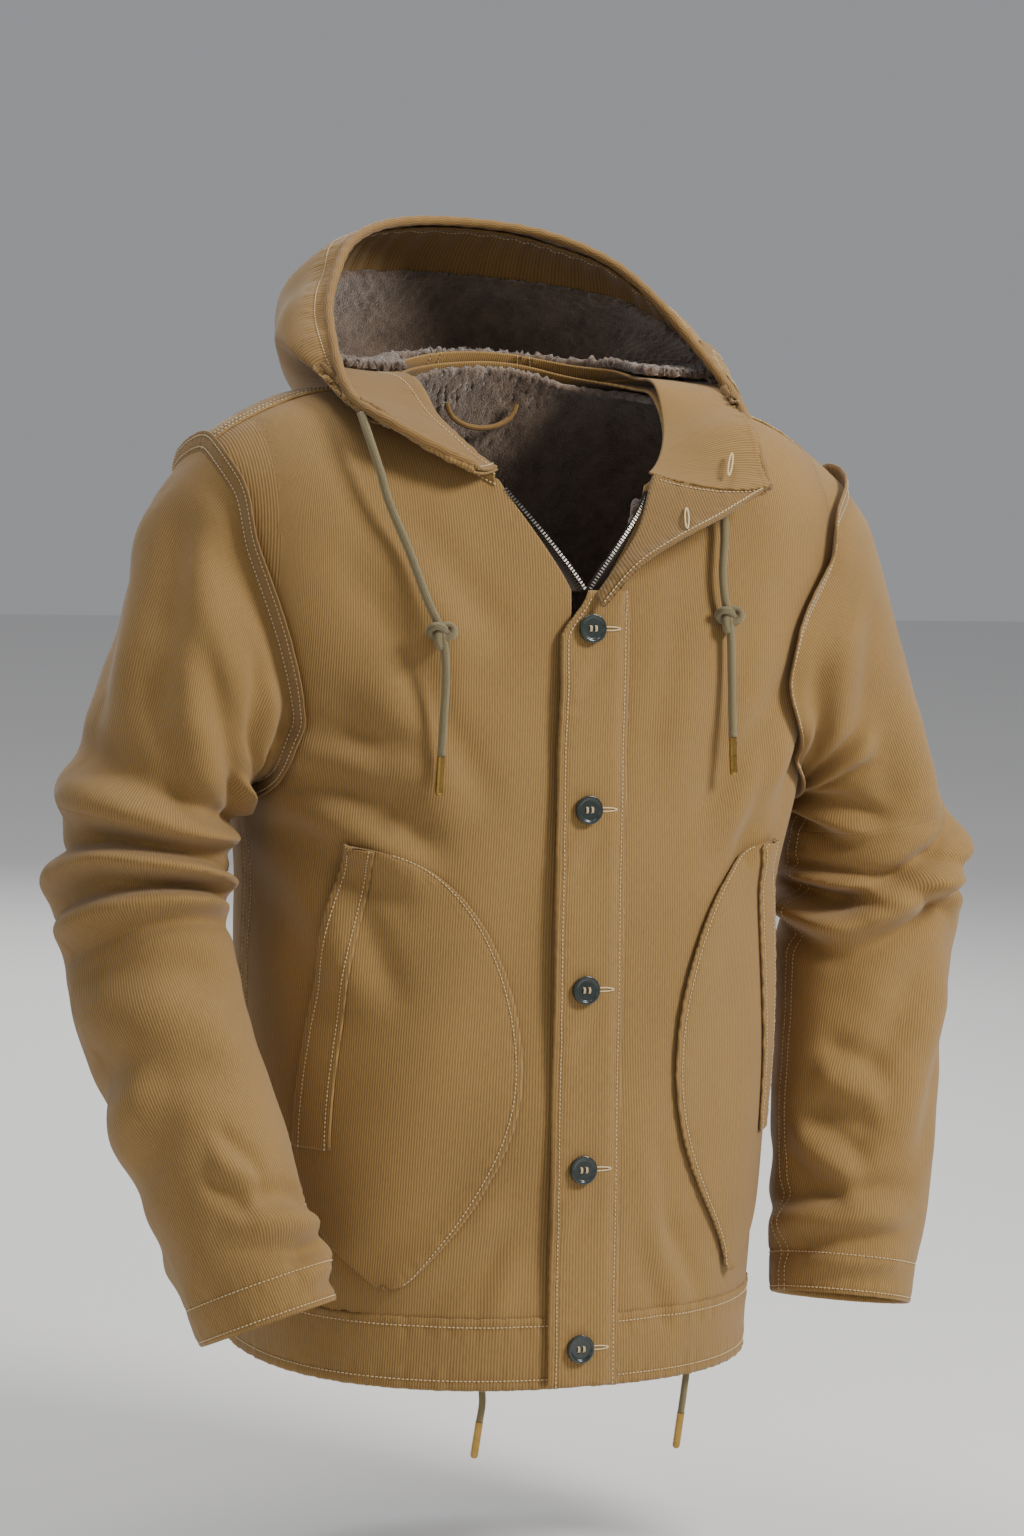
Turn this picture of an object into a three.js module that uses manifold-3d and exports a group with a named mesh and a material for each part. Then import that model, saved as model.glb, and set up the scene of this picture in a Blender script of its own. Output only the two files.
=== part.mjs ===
// Hooded deck jacket: corded cotton shell, pile lining, zip under a buttoned storm flap.
// Frame: millimetres, +Z up, the front faces -Y, the wearer's left is +X.
// The origin is the middle of the neck opening, where the shoulders carry the jacket.
import * as THREE from 'three';
import { mergeVertices } from 'three/addons/utils/BufferGeometryUtils.js';
import Module from 'manifold-3d';

const wasm = await Module();
wasm.setup();

// ---------- driving dimensions, in millimetres and degrees ----------
const BODY_HALF_WIDTH = 198; // half the width of the body below the chest
const HEM_HALF_WIDTH = 189; // half the width at the hem
const CHEST_HALF_WIDTH = 213; // half the width at the armpits
const YOKE_HALF_WIDTH = 277; // half the width of the yoke, as it would run on past the armholes
const CHEST_Z = -240; // height where the yoke ends and the body begins
const HEM_Z = -687; // lower edge of the hem band
const FRONT_DEPTH_TOP = 119; // how far the front stands forward of the neck at chest height
const FRONT_SLOPE = 0.08; // how much further forward the front is for each mm lower down
const BACK_DEPTH = 130; // how far the back stands behind the neck
const SECTION_POWER = 2.3; // 2 is an ellipse, more is squarer
const CHEST_POWER = 2.9; // the same at the armpits
const SQUARE_REACH = 200; // how far below the armpits the section stays squarer
const SQUARE_TOP_Z = -90; // height where the yoke's section is back to SECTION_POWER
const HEM_NARROWING = 200; // height over which the body narrows to the hem
const ARMPIT_FLARE = 130; // height over which the body widens to the armpits
const YOKE_TOP_Z = -50; // height where the yoke reaches its full width
const YOKE_FALL = { middle: 1.1, side: 0.3 }; // how slowly the yoke drops from the neck, and more so at the side
const YOKE_REACH = { middle: 1.9, side: 3.1 }; // how fast it spreads from the neck, and faster at the side
const SHOULDER_SPREAD = 35; // degrees of the body that the dropped shoulder covers
const NECK_RADIUS = 92; // neck seam
const NECK_POWER = 2.5; // squareness of the neck seam
const NECK_FRONT_Z = -62;
const NECK_SIDE_Z = 0;
const NECK_BACK_Z = 14;
const LEFT_SHOULDER_DROP = 14; // the left shoulder hangs this much lower than the right
const NECK_FRONT_ANGLE = 36; // half the angle that the open front takes from the neck seam
const V_DEPTH_Z = -134; // point of the open V
const ZIP_X = 0; // middle of the zip
const ZIP_GAP = 13; // between the two front edges
const HEM_BAND_HEIGHT = 48;
const SHELL = 2; // shell cloth, two plies and a seam
const LINING = 7; // pile lining
const LINING_GAP = 3.5; // between shell and lining
const LAYER_GAP = 3; // under a layer sewn on the outside
const SEAM_GAP = 0.5; // between panels that meet edge to edge
const FLAP_LEFT = 28; // storm flap, from the zip towards the wearer's left
const FLAP_RIGHT = 22; // and towards the wearer's right
const BUTTON_R = 10;
const BUTTON_THICK = 3.4;
const BUTTON_TOP_Z = -160;
const BUTTON_PITCH = 125;
const BUTTON_COUNT = 5;
const SLEEVE_WALL = 4; // shell and lining together
const CUFF_HEM = 26;
const HOOD_WALL = 2.5;
const HOOD_LINING = 8;
const RIM_D = 6; // rolled edge of the hood that holds its cord
const CORD_D = 6;
const HEM_CORD_D = 5;
const TIP_D = 5.5;
const TIP_LENGTH = 27;
const KNOT_R = 8.5;
const ZIP_TAPE_WIDTH = 12;
const ZIP_BOX_LENGTH = 13;
const ZIP_PULL_LENGTH = 22;
const ZIP_CHAIN_WIDTH = 5.6;
const ZIP_CHAIN_THICK = 2.2;
const ZIP_BEHIND = 8; // depth of the chain behind the face of the front
const SLIDER_LENGTH = 13;
const SLIDER_WIDTH = 9.5;

// ---------- small helpers ----------
const V = (x, y, z) => new THREE.Vector3(x, y, z);
const rad = THREE.MathUtils.degToRad;
const lerp = THREE.MathUtils.lerp;
const smooth = THREE.MathUtils.smoothstep;
const group = new THREE.Group();

const finish = (color, roughness, metalness = 0) => ({ color, roughness, metalness });
const CLOTH = finish(0xa37c48, 0.85);
const PILE = finish(0x6e5a49, 0.98);
const TAPE = finish(0x3a2f22, 0.8);
const STEEL = finish(0xb9b6ae, 0.35, 0.9);
const BRASS = finish(0xb98f3f, 0.3, 0.9);
const CORD = finish(0x7d7150, 0.9);
const BUTTON = finish(0x2c3633, 0.3);

function add(name, geometry, look) {
  const mesh = new THREE.Mesh(geometry, new THREE.MeshStandardMaterial(look));
  mesh.name = name;
  group.add(mesh);
  return mesh;
}

function signedVolume(p, index) {
  const [a, b, c] = [V(), V(), V()];
  let sum = 0;
  for (let i = 0; i < index.length; i += 3) {
    a.fromArray(p, index[i] * 3);
    b.fromArray(p, index[i + 1] * 3);
    c.fromArray(p, index[i + 2] * 3);
    sum += a.dot(b.clone().cross(c));
  }
  return sum / 6;
}

// A geometry from points and triangles, with its faces turned outwards.
function solid(points, index) {
  const p = points.flatMap((v) => [v.x, v.y, v.z]);
  if (signedVolume(p, index) < 0) {
    for (let i = 0; i < index.length; i += 3) {
      [index[i + 1], index[i + 2]] = [index[i + 2], index[i + 1]];
    }
  }
  const g = new THREE.BufferGeometry();
  g.setAttribute('position', new THREE.Float32BufferAttribute(p, 3));
  g.setIndex(index);
  g.computeVertexNormals();
  return g;
}

// Unit normal of a surface f(u, v), by differences, on the side that `away` points to.
// With `away` left out it is the side that u and v turn about by the right-hand rule.
function normalAt(f, u, v, away) {
  const e = 1e-3;
  const du = f(u + e, v).sub(f(u - e, v));
  const dv = f(u, v + e).sub(f(u, v - e));
  const n = du.cross(dv).normalize();
  return away && n.dot(away(f(u, v))) < 0 ? n.negate() : n;
}
const awayFromBody = (p) => V(p.x, p.y, 60);

// A sheet of cloth with thickness: the surface f(u, v) moved along its normal
// by `outer` and by `inner`, closed along its edges. `round` joins u = 1 to u = 0.
function sheet(f, nu, nv, outer, inner, { round = false, away = awayFromBody } = {}) {
  const cols = round ? nu : nu + 1;
  const points = [];
  for (const offset of [outer, inner]) {
    for (let j = 0; j <= nv; j += 1) {
      for (let i = 0; i < cols; i += 1) {
        const n = normalAt(f, i / nu, j / nv, away);
        points.push(f(i / nu, j / nv).addScaledVector(n, offset));
      }
    }
  }
  const layer = cols * (nv + 1);
  const at = (k, i, j) => k * layer + j * cols + (i % cols);
  const index = [];
  const quad = (a, b, c, d) => index.push(a, b, c, a, c, d);
  for (let j = 0; j < nv; j += 1) {
    for (let i = 0; i < nu; i += 1) {
      quad(at(0, i, j), at(0, i + 1, j), at(0, i + 1, j + 1), at(0, i, j + 1));
      quad(at(1, i, j), at(1, i, j + 1), at(1, i + 1, j + 1), at(1, i + 1, j));
    }
  }
  for (let i = 0; i < nu; i += 1) {
    quad(at(0, i, 0), at(1, i, 0), at(1, i + 1, 0), at(0, i + 1, 0));
    quad(at(0, i, nv), at(0, i + 1, nv), at(1, i + 1, nv), at(1, i, nv));
  }
  if (!round) {
    for (let j = 0; j < nv; j += 1) {
      quad(at(0, 0, j), at(0, 0, j + 1), at(1, 0, j + 1), at(1, 0, j));
      quad(at(0, nu, j), at(1, nu, j), at(1, nu, j + 1), at(0, nu, j + 1));
    }
  }
  return solid(points, index);
}

function toManifold(g) {
  const bare = g.clone();
  bare.deleteAttribute('normal');
  bare.deleteAttribute('uv');
  const m = mergeVertices(bare, 1e-3);
  return new wasm.Manifold(
    new wasm.Mesh({
      numProp: 3,
      vertProperties: new Float32Array(m.attributes.position.array),
      triVerts: new Uint32Array(m.index.array),
    }),
  );
}

function fromManifold(s) {
  const m = s.getMesh();
  const g = new THREE.BufferGeometry();
  g.setAttribute('position', new THREE.Float32BufferAttribute(m.vertProperties, 3));
  g.setIndex(Array.from(m.triVerts));
  g.computeVertexNormals();
  return g;
}

function largestBody(s) {
  return s.decompose().sort((a, b) => b.volume() - a.volume())[0];
}

const cut = (g, ...tools) =>
  fromManifold(largestBody(tools.reduce((s, t) => s.subtract(toManifold(t)), toManifold(g))));

// A round rod along a list of points.
function rod(points, d, sides, steps) {
  const curve = new THREE.CatmullRomCurve3(points, false, 'centripetal');
  const section = new THREE.Shape();
  for (let i = 0; i < sides; i += 1) {
    const a = (i / sides) * 2 * Math.PI;
    section[i ? 'lineTo' : 'moveTo']((Math.cos(a) * d) / 2, (Math.sin(a) * d) / 2);
  }
  return new THREE.ExtrudeGeometry(section, { steps, extrudePath: curve });
}

// ---------- body: a surface around the wearer ----------
// Angle 0 is the front, +90 the wearer's left, 180 the back.
const fromFront = (angle) => Math.abs(((((angle + 180) % 360) + 360) % 360) - 180);
function neckPoint(angle) {
  const s = Math.abs(Math.sin(rad(angle)));
  const c = Math.abs(Math.cos(rad(angle)));
  const r = NECK_RADIUS / Math.pow(s ** NECK_POWER + c ** NECK_POWER, 1 / NECK_POWER);
  const a = fromFront(angle);
  const z =
    a < 92
      ? lerp(NECK_FRONT_Z, NECK_SIDE_Z, smooth(a, 30, 92))
      : lerp(NECK_SIDE_Z, NECK_BACK_Z, smooth(a, 92, 180));
  return { r, z };
}

function frontDepth(z) {
  return FRONT_DEPTH_TOP + (CHEST_Z - z) * FRONT_SLOPE;
}

// Half the width and the squareness of the section at height z.
function sectionAt(z) {
  const body = lerp(HEM_HALF_WIDTH, BODY_HALF_WIDTH, smooth(z, HEM_Z, HEM_Z + HEM_NARROWING));
  const chest = lerp(body, CHEST_HALF_WIDTH, smooth(z, CHEST_Z - ARMPIT_FLARE, CHEST_Z));
  const yoke = lerp(chest, YOKE_HALF_WIDTH, smooth(z, CHEST_Z, YOKE_TOP_Z));
  const square = smooth(z, CHEST_Z - SQUARE_REACH, CHEST_Z) * (1 - smooth(z, CHEST_Z, SQUARE_TOP_Z));
  return { halfWidth: yoke, power: lerp(SECTION_POWER, CHEST_POWER, square) };
}

function sectionRadius(angle, z) {
  const s = Math.abs(Math.sin(rad(angle)));
  const c = Math.cos(rad(angle));
  const depth = c > 0 ? frontDepth(Math.min(z, CHEST_Z)) : BACK_DEPTH;
  const { halfWidth, power } = sectionAt(z);
  return Math.pow((s / halfWidth) ** power + (Math.abs(c) / depth) ** power, -1 / power);
}

// t runs 0 to 1 from the neck seam to the chest, then 1 to 2 from the chest to the hem.
function bodyPoint(angle, t) {
  const neck = neckPoint(angle);
  const side = smooth(fromFront(angle), 35, 90) * (1 - smooth(fromFront(angle), 100, 160));
  const yoke = Math.min(Math.max(t, 0), 1);
  const fall = Math.pow(yoke, YOKE_FALL.middle + YOKE_FALL.side * side);
  const z = t > 1 ? lerp(CHEST_Z, HEM_Z, t - 1) : lerp(neck.z, CHEST_Z, fall);
  const reach = 1 - Math.pow(1 - yoke, YOKE_REACH.middle + YOKE_REACH.side * side);
  const r = lerp(neck.r, sectionRadius(angle, z), reach);
  const down = smooth(t, 0, 0.3) * (1 - smooth(t, 0.5, 1));
  const overShoulder = Math.exp(-(((angle - 90) / SHOULDER_SPREAD) ** 2)) * down;
  return V(r * Math.sin(rad(angle)), -r * Math.cos(rad(angle)), z - LEFT_SHOULDER_DROP * overShoulder);
}

const tOfZ = (z) => 1 + (CHEST_Z - z) / (CHEST_Z - HEM_Z);
const HEM_SEAM_T = tOfZ(HEM_Z + HEM_BAND_HEIGHT);
const SIDE_ANGLE = 94; // side seam and shoulder seam

// Parameter t on the front where the V ends.
function findT(angle, z) {
  let [low, high] = [0, 1];
  for (let i = 0; i < 40; i += 1) {
    const mid = (low + high) / 2;
    if (bodyPoint(angle, mid).z > z) low = mid;
    else high = mid;
  }
  return low;
}
const V_T = findT(0, V_DEPTH_Z);

// Angle of the front edge at t, on the side of the wearer's right (-1) or left (+1).
function edgeAngle(t, side, inset) {
  const p = bodyPoint(0, Math.min(Math.max(t, V_T), 2));
  const straight = THREE.MathUtils.radToDeg(Math.atan2(ZIP_X + side * inset, -p.y));
  if (t >= V_T) return straight;
  const open = Math.pow((V_T - t) / V_T, 1.1);
  return lerp(straight, side * NECK_FRONT_ANGLE, open);
}

// ---------- sleeves ----------
// Each ring has its outer and inner point in the XZ plane, its middle's y, and half its depth.
// The first five rings turn about the armpit; the rest follow the arm.
const HEAD_RINGS = [
  { outer: [250, -48], inner: [202, -276], y: -3, depth: 88 },
  { outer: [276, -88], inner: [207, -280], y: -3, depth: 84 },
  { outer: [296, -150], inner: [212, -286], y: -5, depth: 79 },
  { outer: [316, -215], inner: [218, -293], y: -8, depth: 74 },
  { outer: [337, -285], inner: [224, -312], y: -12, depth: 70 },
];
const ARM_RINGS = {
  right: [
    { c: [285, -20, -340], half: 59, depth: 66 },
    { c: [288, -32, -378], half: 58, depth: 64 },
    { c: [284, -55, -425], half: 58, depth: 60 },
    { c: [274, -85, -480], half: 56, depth: 57 },
    { c: [258, -112, -535], half: 54, depth: 54 },
    { c: [244, -135, -585], half: 51, depth: 52 },
    { c: [232, -152, -628], half: 49, depth: 50 },
  ],
  left: [
    { c: [288, -14, -332], half: 67, depth: 68 },
    { c: [290, -16, -372], half: 68, depth: 66 },
    { c: [285, -22, -420], half: 66, depth: 63 },
    { c: [276, -36, -485], half: 63, depth: 60 },
    { c: [269, -50, -548], half: 61, depth: 58 },
    { c: [260, -64, -605], half: 56, depth: 55 },
    { c: [252, -76, -655], half: 52, depth: 52 },
  ],
};
const ARMHOLE_IN = { right: 2, left: 44 }; // how far the front of each armhole sits in over the chest

function armRings(arm) {
  const drop = arm === 'left' ? LEFT_SHOULDER_DROP : 0;
  const head = HEAD_RINGS.map(({ outer, inner, y, depth }, k) => {
    const o = V(outer[0], y, outer[1] - drop * (1 - k / HEAD_RINGS.length));
    const i = V(inner[0], y, inner[1]);
    const across = o.clone().sub(i).normalize();
    return { c: o.clone().add(i).multiplyScalar(0.5), across, half: o.distanceTo(i) / 2, depth };
  });
  const centres = [...head.map((r) => r.c), ...ARM_RINGS[arm].map((r) => V(...r.c))];
  const rest = ARM_RINGS[arm].map(({ half, depth }, k) => {
    const at = head.length + k;
    const next = centres[Math.min(at + 1, centres.length - 1)];
    const along = next.clone().sub(centres[at - 1]).normalize();
    const across = V(1, 0, 0).addScaledVector(along, -along.x).normalize();
    return { c: centres[at], across, half, depth, along };
  });
  head.forEach((r) => {
    r.along = V(0, 1, 0).cross(r.across).normalize();
  });
  return [...head, ...rest];
}

// Point on a sleeve: u goes round from the outer line over the front, v along the rings.
function sleeveSurface(arm) {
  const rings = armRings(arm);
  const mirror = arm === 'left' ? 1 : -1;
  const ringPoint = (ring, u) => {
    const a = u * 2 * Math.PI;
    const fade = Math.max(0, 1 - rings.indexOf(ring) / 4);
    const inset = ARMHOLE_IN[arm] * Math.max(0, Math.sin(a)) ** 2 * fade;
    const forward = ring.across.clone().cross(ring.along).normalize();
    if (forward.y > 0) forward.negate();
    return ring.c
      .clone()
      .add(V(-inset, 0, 0))
      .addScaledVector(ring.across, Math.cos(a) * ring.half)
      .addScaledVector(forward, Math.sin(a) * ring.depth);
  };
  return (u, v) => {
    const last = rings.length - 1;
    const x = Math.min(Math.max(v, 0), last);
    const k = Math.min(Math.floor(x), last - 1);
    const near = [k - 1, k, k + 1, k + 2].map((i) => rings[Math.min(Math.max(i, 0), last)]);
    const [p0, p1, p2, p3] = near.map((r) => ringPoint(r, u));
    const f = x - k;
    const p = V(0, 0, 0)
      .addScaledVector(p0, -0.5 * f + f * f - 0.5 * f ** 3)
      .addScaledVector(p1, 1 - 2.5 * f * f + 1.5 * f ** 3)
      .addScaledVector(p2, 0.5 * f + 2 * f * f - 1.5 * f ** 3)
      .addScaledVector(p3, -0.5 * f * f + 0.5 * f ** 3);
    if (v < 0) p.addScaledVector(rings[0].along, v * 40);
    if (v > last) p.addScaledVector(rings[last].along, (v - last) * 40);
    p.x *= mirror;
    return p;
  };
}

// The sleeve as a filled plug, a little larger than its outside, to cut the armhole.
function sleevePlug(arm) {
  const f = sleeveSurface(arm);
  const nu = 16;
  const stations = [-0.06, 0, 0.55, 1.1, 1.64, 2.19, 2.87, 3.53, 4.2, 5];
  const points = [];
  stations.forEach((v) => {
    const ring = Array.from({ length: nu }, (_, i) => f(i / nu, v));
    const c = ring.reduce((s, p) => s.add(p), V(0, 0, 0)).multiplyScalar(1 / nu);
    ring.forEach((p) => {
      const out = p.clone().sub(c);
      points.push(p.addScaledVector(out.normalize(), SLEEVE_WALL / 2 + 2));
    });
  });
  const index = [];
  for (let j = 0; j < stations.length - 1; j += 1) {
    for (let i = 0; i < nu; i += 1) {
      const [a, b] = [j * nu + i, j * nu + ((i + 1) % nu)];
      index.push(a, b, b + nu, a, b + nu, a + nu);
    }
  }
  const lastRow = (stations.length - 1) * nu;
  for (let i = 1; i < nu - 1; i += 1) {
    index.push(0, i + 1, i);
    index.push(lastRow, lastRow + i, lastRow + i + 1);
  }
  return solid(points, index);
}

// A stretch of sleeve between two ring numbers, over part of its girth or all of it.
function sleevePart(arm, v0, v1, nv, { u0 = 0, u1 = 1, nu = 16, outer, inner } = {}) {
  const f = sleeveSurface(arm);
  const out = outer ?? SLEEVE_WALL / 2;
  const middle = (v) => f(0, v).add(f(0.5, v)).multiplyScalar(0.5);
  const stretch = (u, v) => f(lerp(u0, u1, u), lerp(v0, v1, v));
  const axis = [0, 0.25, 0.5, 0.75, 1].map((v) => middle(lerp(v0, v1, v)));
  const away = (p) => {
    const near = axis.reduce((best, c) => (c.distanceTo(p) < best.distanceTo(p) ? c : best));
    return p.clone().sub(near);
  };
  const round = u1 - u0 >= 1;
  return sheet(stretch, nu, nv, out, inner ?? out - SLEEVE_WALL, { round, away });
}

const RING_GAP = 0.012; // gap between sleeve parts, in ring numbers
for (const arm of ['right', 'left']) {
  const last = HEAD_RINGS.length + ARM_RINGS[arm].length - 1;
  const cuff = last - CUFF_HEM / 45;
  const halves = { top: { u0: -0.246, u1: 0.246 }, under: { u0: 0.254, u1: 0.746 } };
  add('sleeve_head_' + arm, sleevePart(arm, 0, 2.2 - RING_GAP, 4), CLOTH);
  add('sleeve_elbow_' + arm, sleevePart(arm, 4.2 + RING_GAP, 6.2 - RING_GAP, 4), CLOTH);
  for (const [half, span] of Object.entries(halves)) {
    const size = { ...span, nu: 8 };
    add('sleeve_upper_' + half + '_' + arm, sleevePart(arm, 2.2, 4.2, 3, size), CLOTH);
    add('sleeve_forearm_' + half + '_' + arm, sleevePart(arm, 6.2, cuff - RING_GAP, 5, size), CLOTH);
  }
  const hemSize = { outer: SLEEVE_WALL / 2 + 1, inner: -SLEEVE_WALL / 2 - 1 };
  add('cuff_hem_' + arm, sleevePart(arm, cuff + RING_GAP, last, 2, hemSize), CLOTH);
}

// ---------- body panels ----------
const plugs = [sleevePlug('right'), sleevePlug('left')];
const HALF_GAP = 0.15; // degrees, between panels that meet at a seam
const liningOuter = -SHELL - LINING_GAP;
const liningInner = liningOuter - LINING;
const panelEnd = HEM_SEAM_T - SEAM_GAP / (CHEST_Z - HEM_Z);

function frontSurface(side, inset, t0, t1) {
  return (u, v) => {
    const t = lerp(t0, t1, v);
    return bodyPoint(lerp(edgeAngle(t, side, inset), side * (SIDE_ANGLE - HALF_GAP), u), t);
  };
}
const backSurface = (t0, t1) => (u, v) =>
  bodyPoint(lerp(SIDE_ANGLE + HALF_GAP, 360 - SIDE_ANGLE - HALF_GAP, u), lerp(t0, t1, v));

const ROWS = 13; // rows of facets down a panel; the lining starts one row lower
const FRONT_COLS = 9;
const BACK_COLS = 16;
const liningTop = panelEnd / ROWS;
for (const [side, name, plug] of [[-1, 'right', 0], [1, 'left', 1]]) {
  const inset = ZIP_GAP / 2;
  const panel = sheet(frontSurface(side, inset, 0, panelEnd), FRONT_COLS, ROWS, 0, -SHELL);
  add('front_panel_' + name, cut(panel, plugs[plug]), CLOTH);
  const band = frontSurface(side, inset, HEM_SEAM_T, 2);
  add('hem_band_' + name, sheet(band, FRONT_COLS, 2, 1, -SHELL), CLOTH);
  const inside = frontSurface(side, inset + 20, liningTop, panelEnd);
  const lining = sheet(inside, FRONT_COLS, ROWS - 1, liningOuter, liningInner);
  add('lining_front_' + name, cut(lining, plugs[plug]), PILE);
}
const back = sheet(backSurface(0, panelEnd), BACK_COLS, ROWS, 0, -SHELL);
add('back_panel', cut(back, ...plugs), CLOTH);
const backBand = sheet(backSurface(HEM_SEAM_T, 2), BACK_COLS, 2, 1, -SHELL);
add('hem_band_back', backBand, CLOTH);
const backLining = sheet(backSurface(liningTop, panelEnd), BACK_COLS, ROWS - 1, liningOuter, liningInner);
add('lining_back', cut(backLining, ...plugs), PILE);

// ---------- layers on the front ----------
// The point of the front at a given x and z, moved out along the surface's normal by `lift`.
function onFront(x, z, lift = 0) {
  const sign = x < 0 ? -1 : 1;
  let [low, high] = [0, 95];
  for (let i = 0; i < 30; i += 1) {
    const mid = (low + high) / 2;
    const t = z > CHEST_Z ? findT(mid, z) : tOfZ(z);
    if (Math.abs(bodyPoint(mid, t).x) < Math.abs(x)) low = mid;
    else high = mid;
  }
  const t = z > CHEST_Z ? findT(low, z) : tOfZ(z);
  const f = (u, v) => bodyPoint(sign * (low + u * 10), t + v);
  return f(0, 0).addScaledVector(normalAt(f, 0, 0, awayFromBody), lift);
}

const FLAP_TOP_Z = V_DEPTH_Z - 12;
const FLAP_THICK = 2.6;
const flapSurface = (u, v) =>
  onFront(lerp(ZIP_X - FLAP_RIGHT, ZIP_X + FLAP_LEFT, u), lerp(FLAP_TOP_Z, HEM_Z, v));
const flapBase = LAYER_GAP + 1;
add('storm_flap', sheet(flapSurface, 4, 18, flapBase + FLAP_THICK, flapBase), CLOTH);

// Buttons stand on the flap; each is a dished disc with a rim.
function buttonGeometry() {
  const profile = [
    [0, 0],
    [BUTTON_R * 0.8, 0],
    [BUTTON_R, BUTTON_THICK * 0.45],
    [BUTTON_R * 0.95, BUTTON_THICK * 0.9],
    [BUTTON_R * 0.78, BUTTON_THICK],
    [BUTTON_R * 0.62, BUTTON_THICK * 0.62],
    [0, BUTTON_THICK * 0.62],
  ].map(([r, h]) => new THREE.Vector2(r, h));
  return new THREE.LatheGeometry(profile, 14).rotateX(Math.PI);
}
for (let i = 0; i < BUTTON_COUNT; i += 1) {
  const z = BUTTON_TOP_Z - i * BUTTON_PITCH;
  const seat = flapBase + FLAP_THICK + 1;
  const p = onFront(ZIP_X, z, seat);
  const button = add('button_' + (i + 1), buttonGeometry(), BUTTON);
  button.position.copy(p);
  button.rotation.x = -Math.atan(FRONT_SLOPE);
}

// Hand pockets: a rounded patch with a slanted opening edge, and a welt along that edge.
const POCKET_TOP_Z = -312;
const POCKET_BOTTOM_Z = -618;
const POCKET_MID_Z = -466;
const POCKET_OPENING_TOP = 165;
const POCKET_OPENING_LOW = 186;
const POCKET_ROUND = { right: 47, left: 80 }; // where the round edge comes nearest the zip
const POCKET_BASE = LAYER_GAP + 2;
const WELT_WIDTH = 17;
const WELT_END_Z = -525;

function pocketX(arm, z) {
  const low = POCKET_MID_Z - POCKET_BOTTOM_Z;
  const high = POCKET_TOP_Z - POCKET_MID_Z;
  const h = (z - POCKET_MID_Z) / (z > POCKET_MID_Z ? high : low);
  const slant = (POCKET_TOP_Z - z) / (POCKET_TOP_Z + 540);
  const edge = lerp(POCKET_OPENING_TOP, POCKET_OPENING_LOW, Math.min(Math.max(slant, 0), 1));
  const low_in = z < POCKET_MID_Z ? 40 * h * h : 0;
  const round = edge - (edge - POCKET_ROUND[arm] - low_in) * Math.sqrt(Math.max(0, 1 - h * h)) - 2;
  return { opening: edge - low_in * 0.6, round: round - low_in * 0.6 };
}
for (const [side, arm] of [[-1, 'right'], [1, 'left']]) {
  const patch = (u, v) => {
    const z = lerp(POCKET_TOP_Z, POCKET_BOTTOM_Z, v);
    const { opening, round } = pocketX(arm, z);
    return onFront(side * lerp(round, opening, u), z);
  };
  add('pocket_' + arm, sheet(patch, 9, 12, POCKET_BASE + 1.6, POCKET_BASE), CLOTH);
  const welt = (u, v) => {
    const z = lerp(POCKET_TOP_Z - 14, WELT_END_Z, v);
    const { opening, round } = pocketX(arm, z);
    const inner = Math.max(opening - WELT_WIDTH, round + 4);
    return onFront(side * lerp(inner, opening, u), z);
  };
  const weltBase = POCKET_BASE + 4.2;
  add('pocket_welt_' + arm, sheet(welt, 2, 8, weltBase + 1.6, weltBase), CLOTH);
}

// The turned-back top of the storm flap, lying open over the left chest.
const lapelInner = (v) => onFront(lerp(5, 68, v), lerp(V_DEPTH_Z - 4, -68, v), 6);
const LAPEL_OUTER = [V(9, -124, -146), V(28, -127, -118), V(50, -127, -99), V(72, -126, -88), V(95, -121, -80)];
const lapelOuter = new THREE.CatmullRomCurve3(LAPEL_OUTER);
const lapelSurface = (u, v) => lapelInner(v).lerp(lapelOuter.getPoint(Math.min(Math.max(v, 0), 1)), u);
const outOfChest = () => V(0.2, -1, 0.6);
add('lapel_left', sheet(lapelSurface, 4, 8, 1.6, -1.6, { away: outOfChest }), CLOTH);

// Zip: two tapes and two rows of teeth behind the gap, a box at the foot, and the slider.
const ZIP_TOP_Z = V_DEPTH_Z - 18;
const ZIP_FOOT_Z = HEM_Z + 42;
const zipTilt = Math.atan(FRONT_SLOPE);
const zipY = (z) => -(FRONT_DEPTH_TOP + (CHEST_Z - z) * FRONT_SLOPE) + ZIP_BEHIND;
function zipPiece(name, x, width, thick, topZ, bottomZ, lift, look) {
  const length = (topZ - bottomZ) / Math.cos(zipTilt);
  const mesh = add(name, new THREE.BoxGeometry(width, thick, length), look);
  const z = (topZ + bottomZ) / 2;
  mesh.position.set(x, zipY(z) - lift, z);
  mesh.rotation.x = -zipTilt;
  return mesh;
}
const halfChain = ZIP_CHAIN_WIDTH / 2;
for (const [side, arm] of [[-1, 'right'], [1, 'left']]) {
  const tapeX = ZIP_X + side * (halfChain + ZIP_TAPE_WIDTH / 2 + SEAM_GAP);
  zipPiece('zip_tape_' + arm, tapeX, ZIP_TAPE_WIDTH, 1, ZIP_TOP_Z, HEM_Z + 22, 0, TAPE);
  const chainX = ZIP_X + side * (halfChain / 2 + 0.15);
  zipPiece('zip_teeth_' + arm, chainX, halfChain, ZIP_CHAIN_THICK, ZIP_TOP_Z - 20, ZIP_FOOT_Z, 0, STEEL);
}
zipPiece('zip_box', ZIP_X, 8.4, 3, ZIP_FOOT_Z - 1, ZIP_FOOT_Z - 1 - ZIP_BOX_LENGTH, 2.6, STEEL);
const sliderTop = ZIP_TOP_Z - 3;
const sliderLift = ZIP_CHAIN_THICK / 2 + 1.6;
zipPiece('zip_slider', ZIP_X, SLIDER_WIDTH, 2.2, sliderTop, sliderTop - SLIDER_LENGTH, sliderLift, STEEL);
const pullTop = sliderTop - 3;
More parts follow.
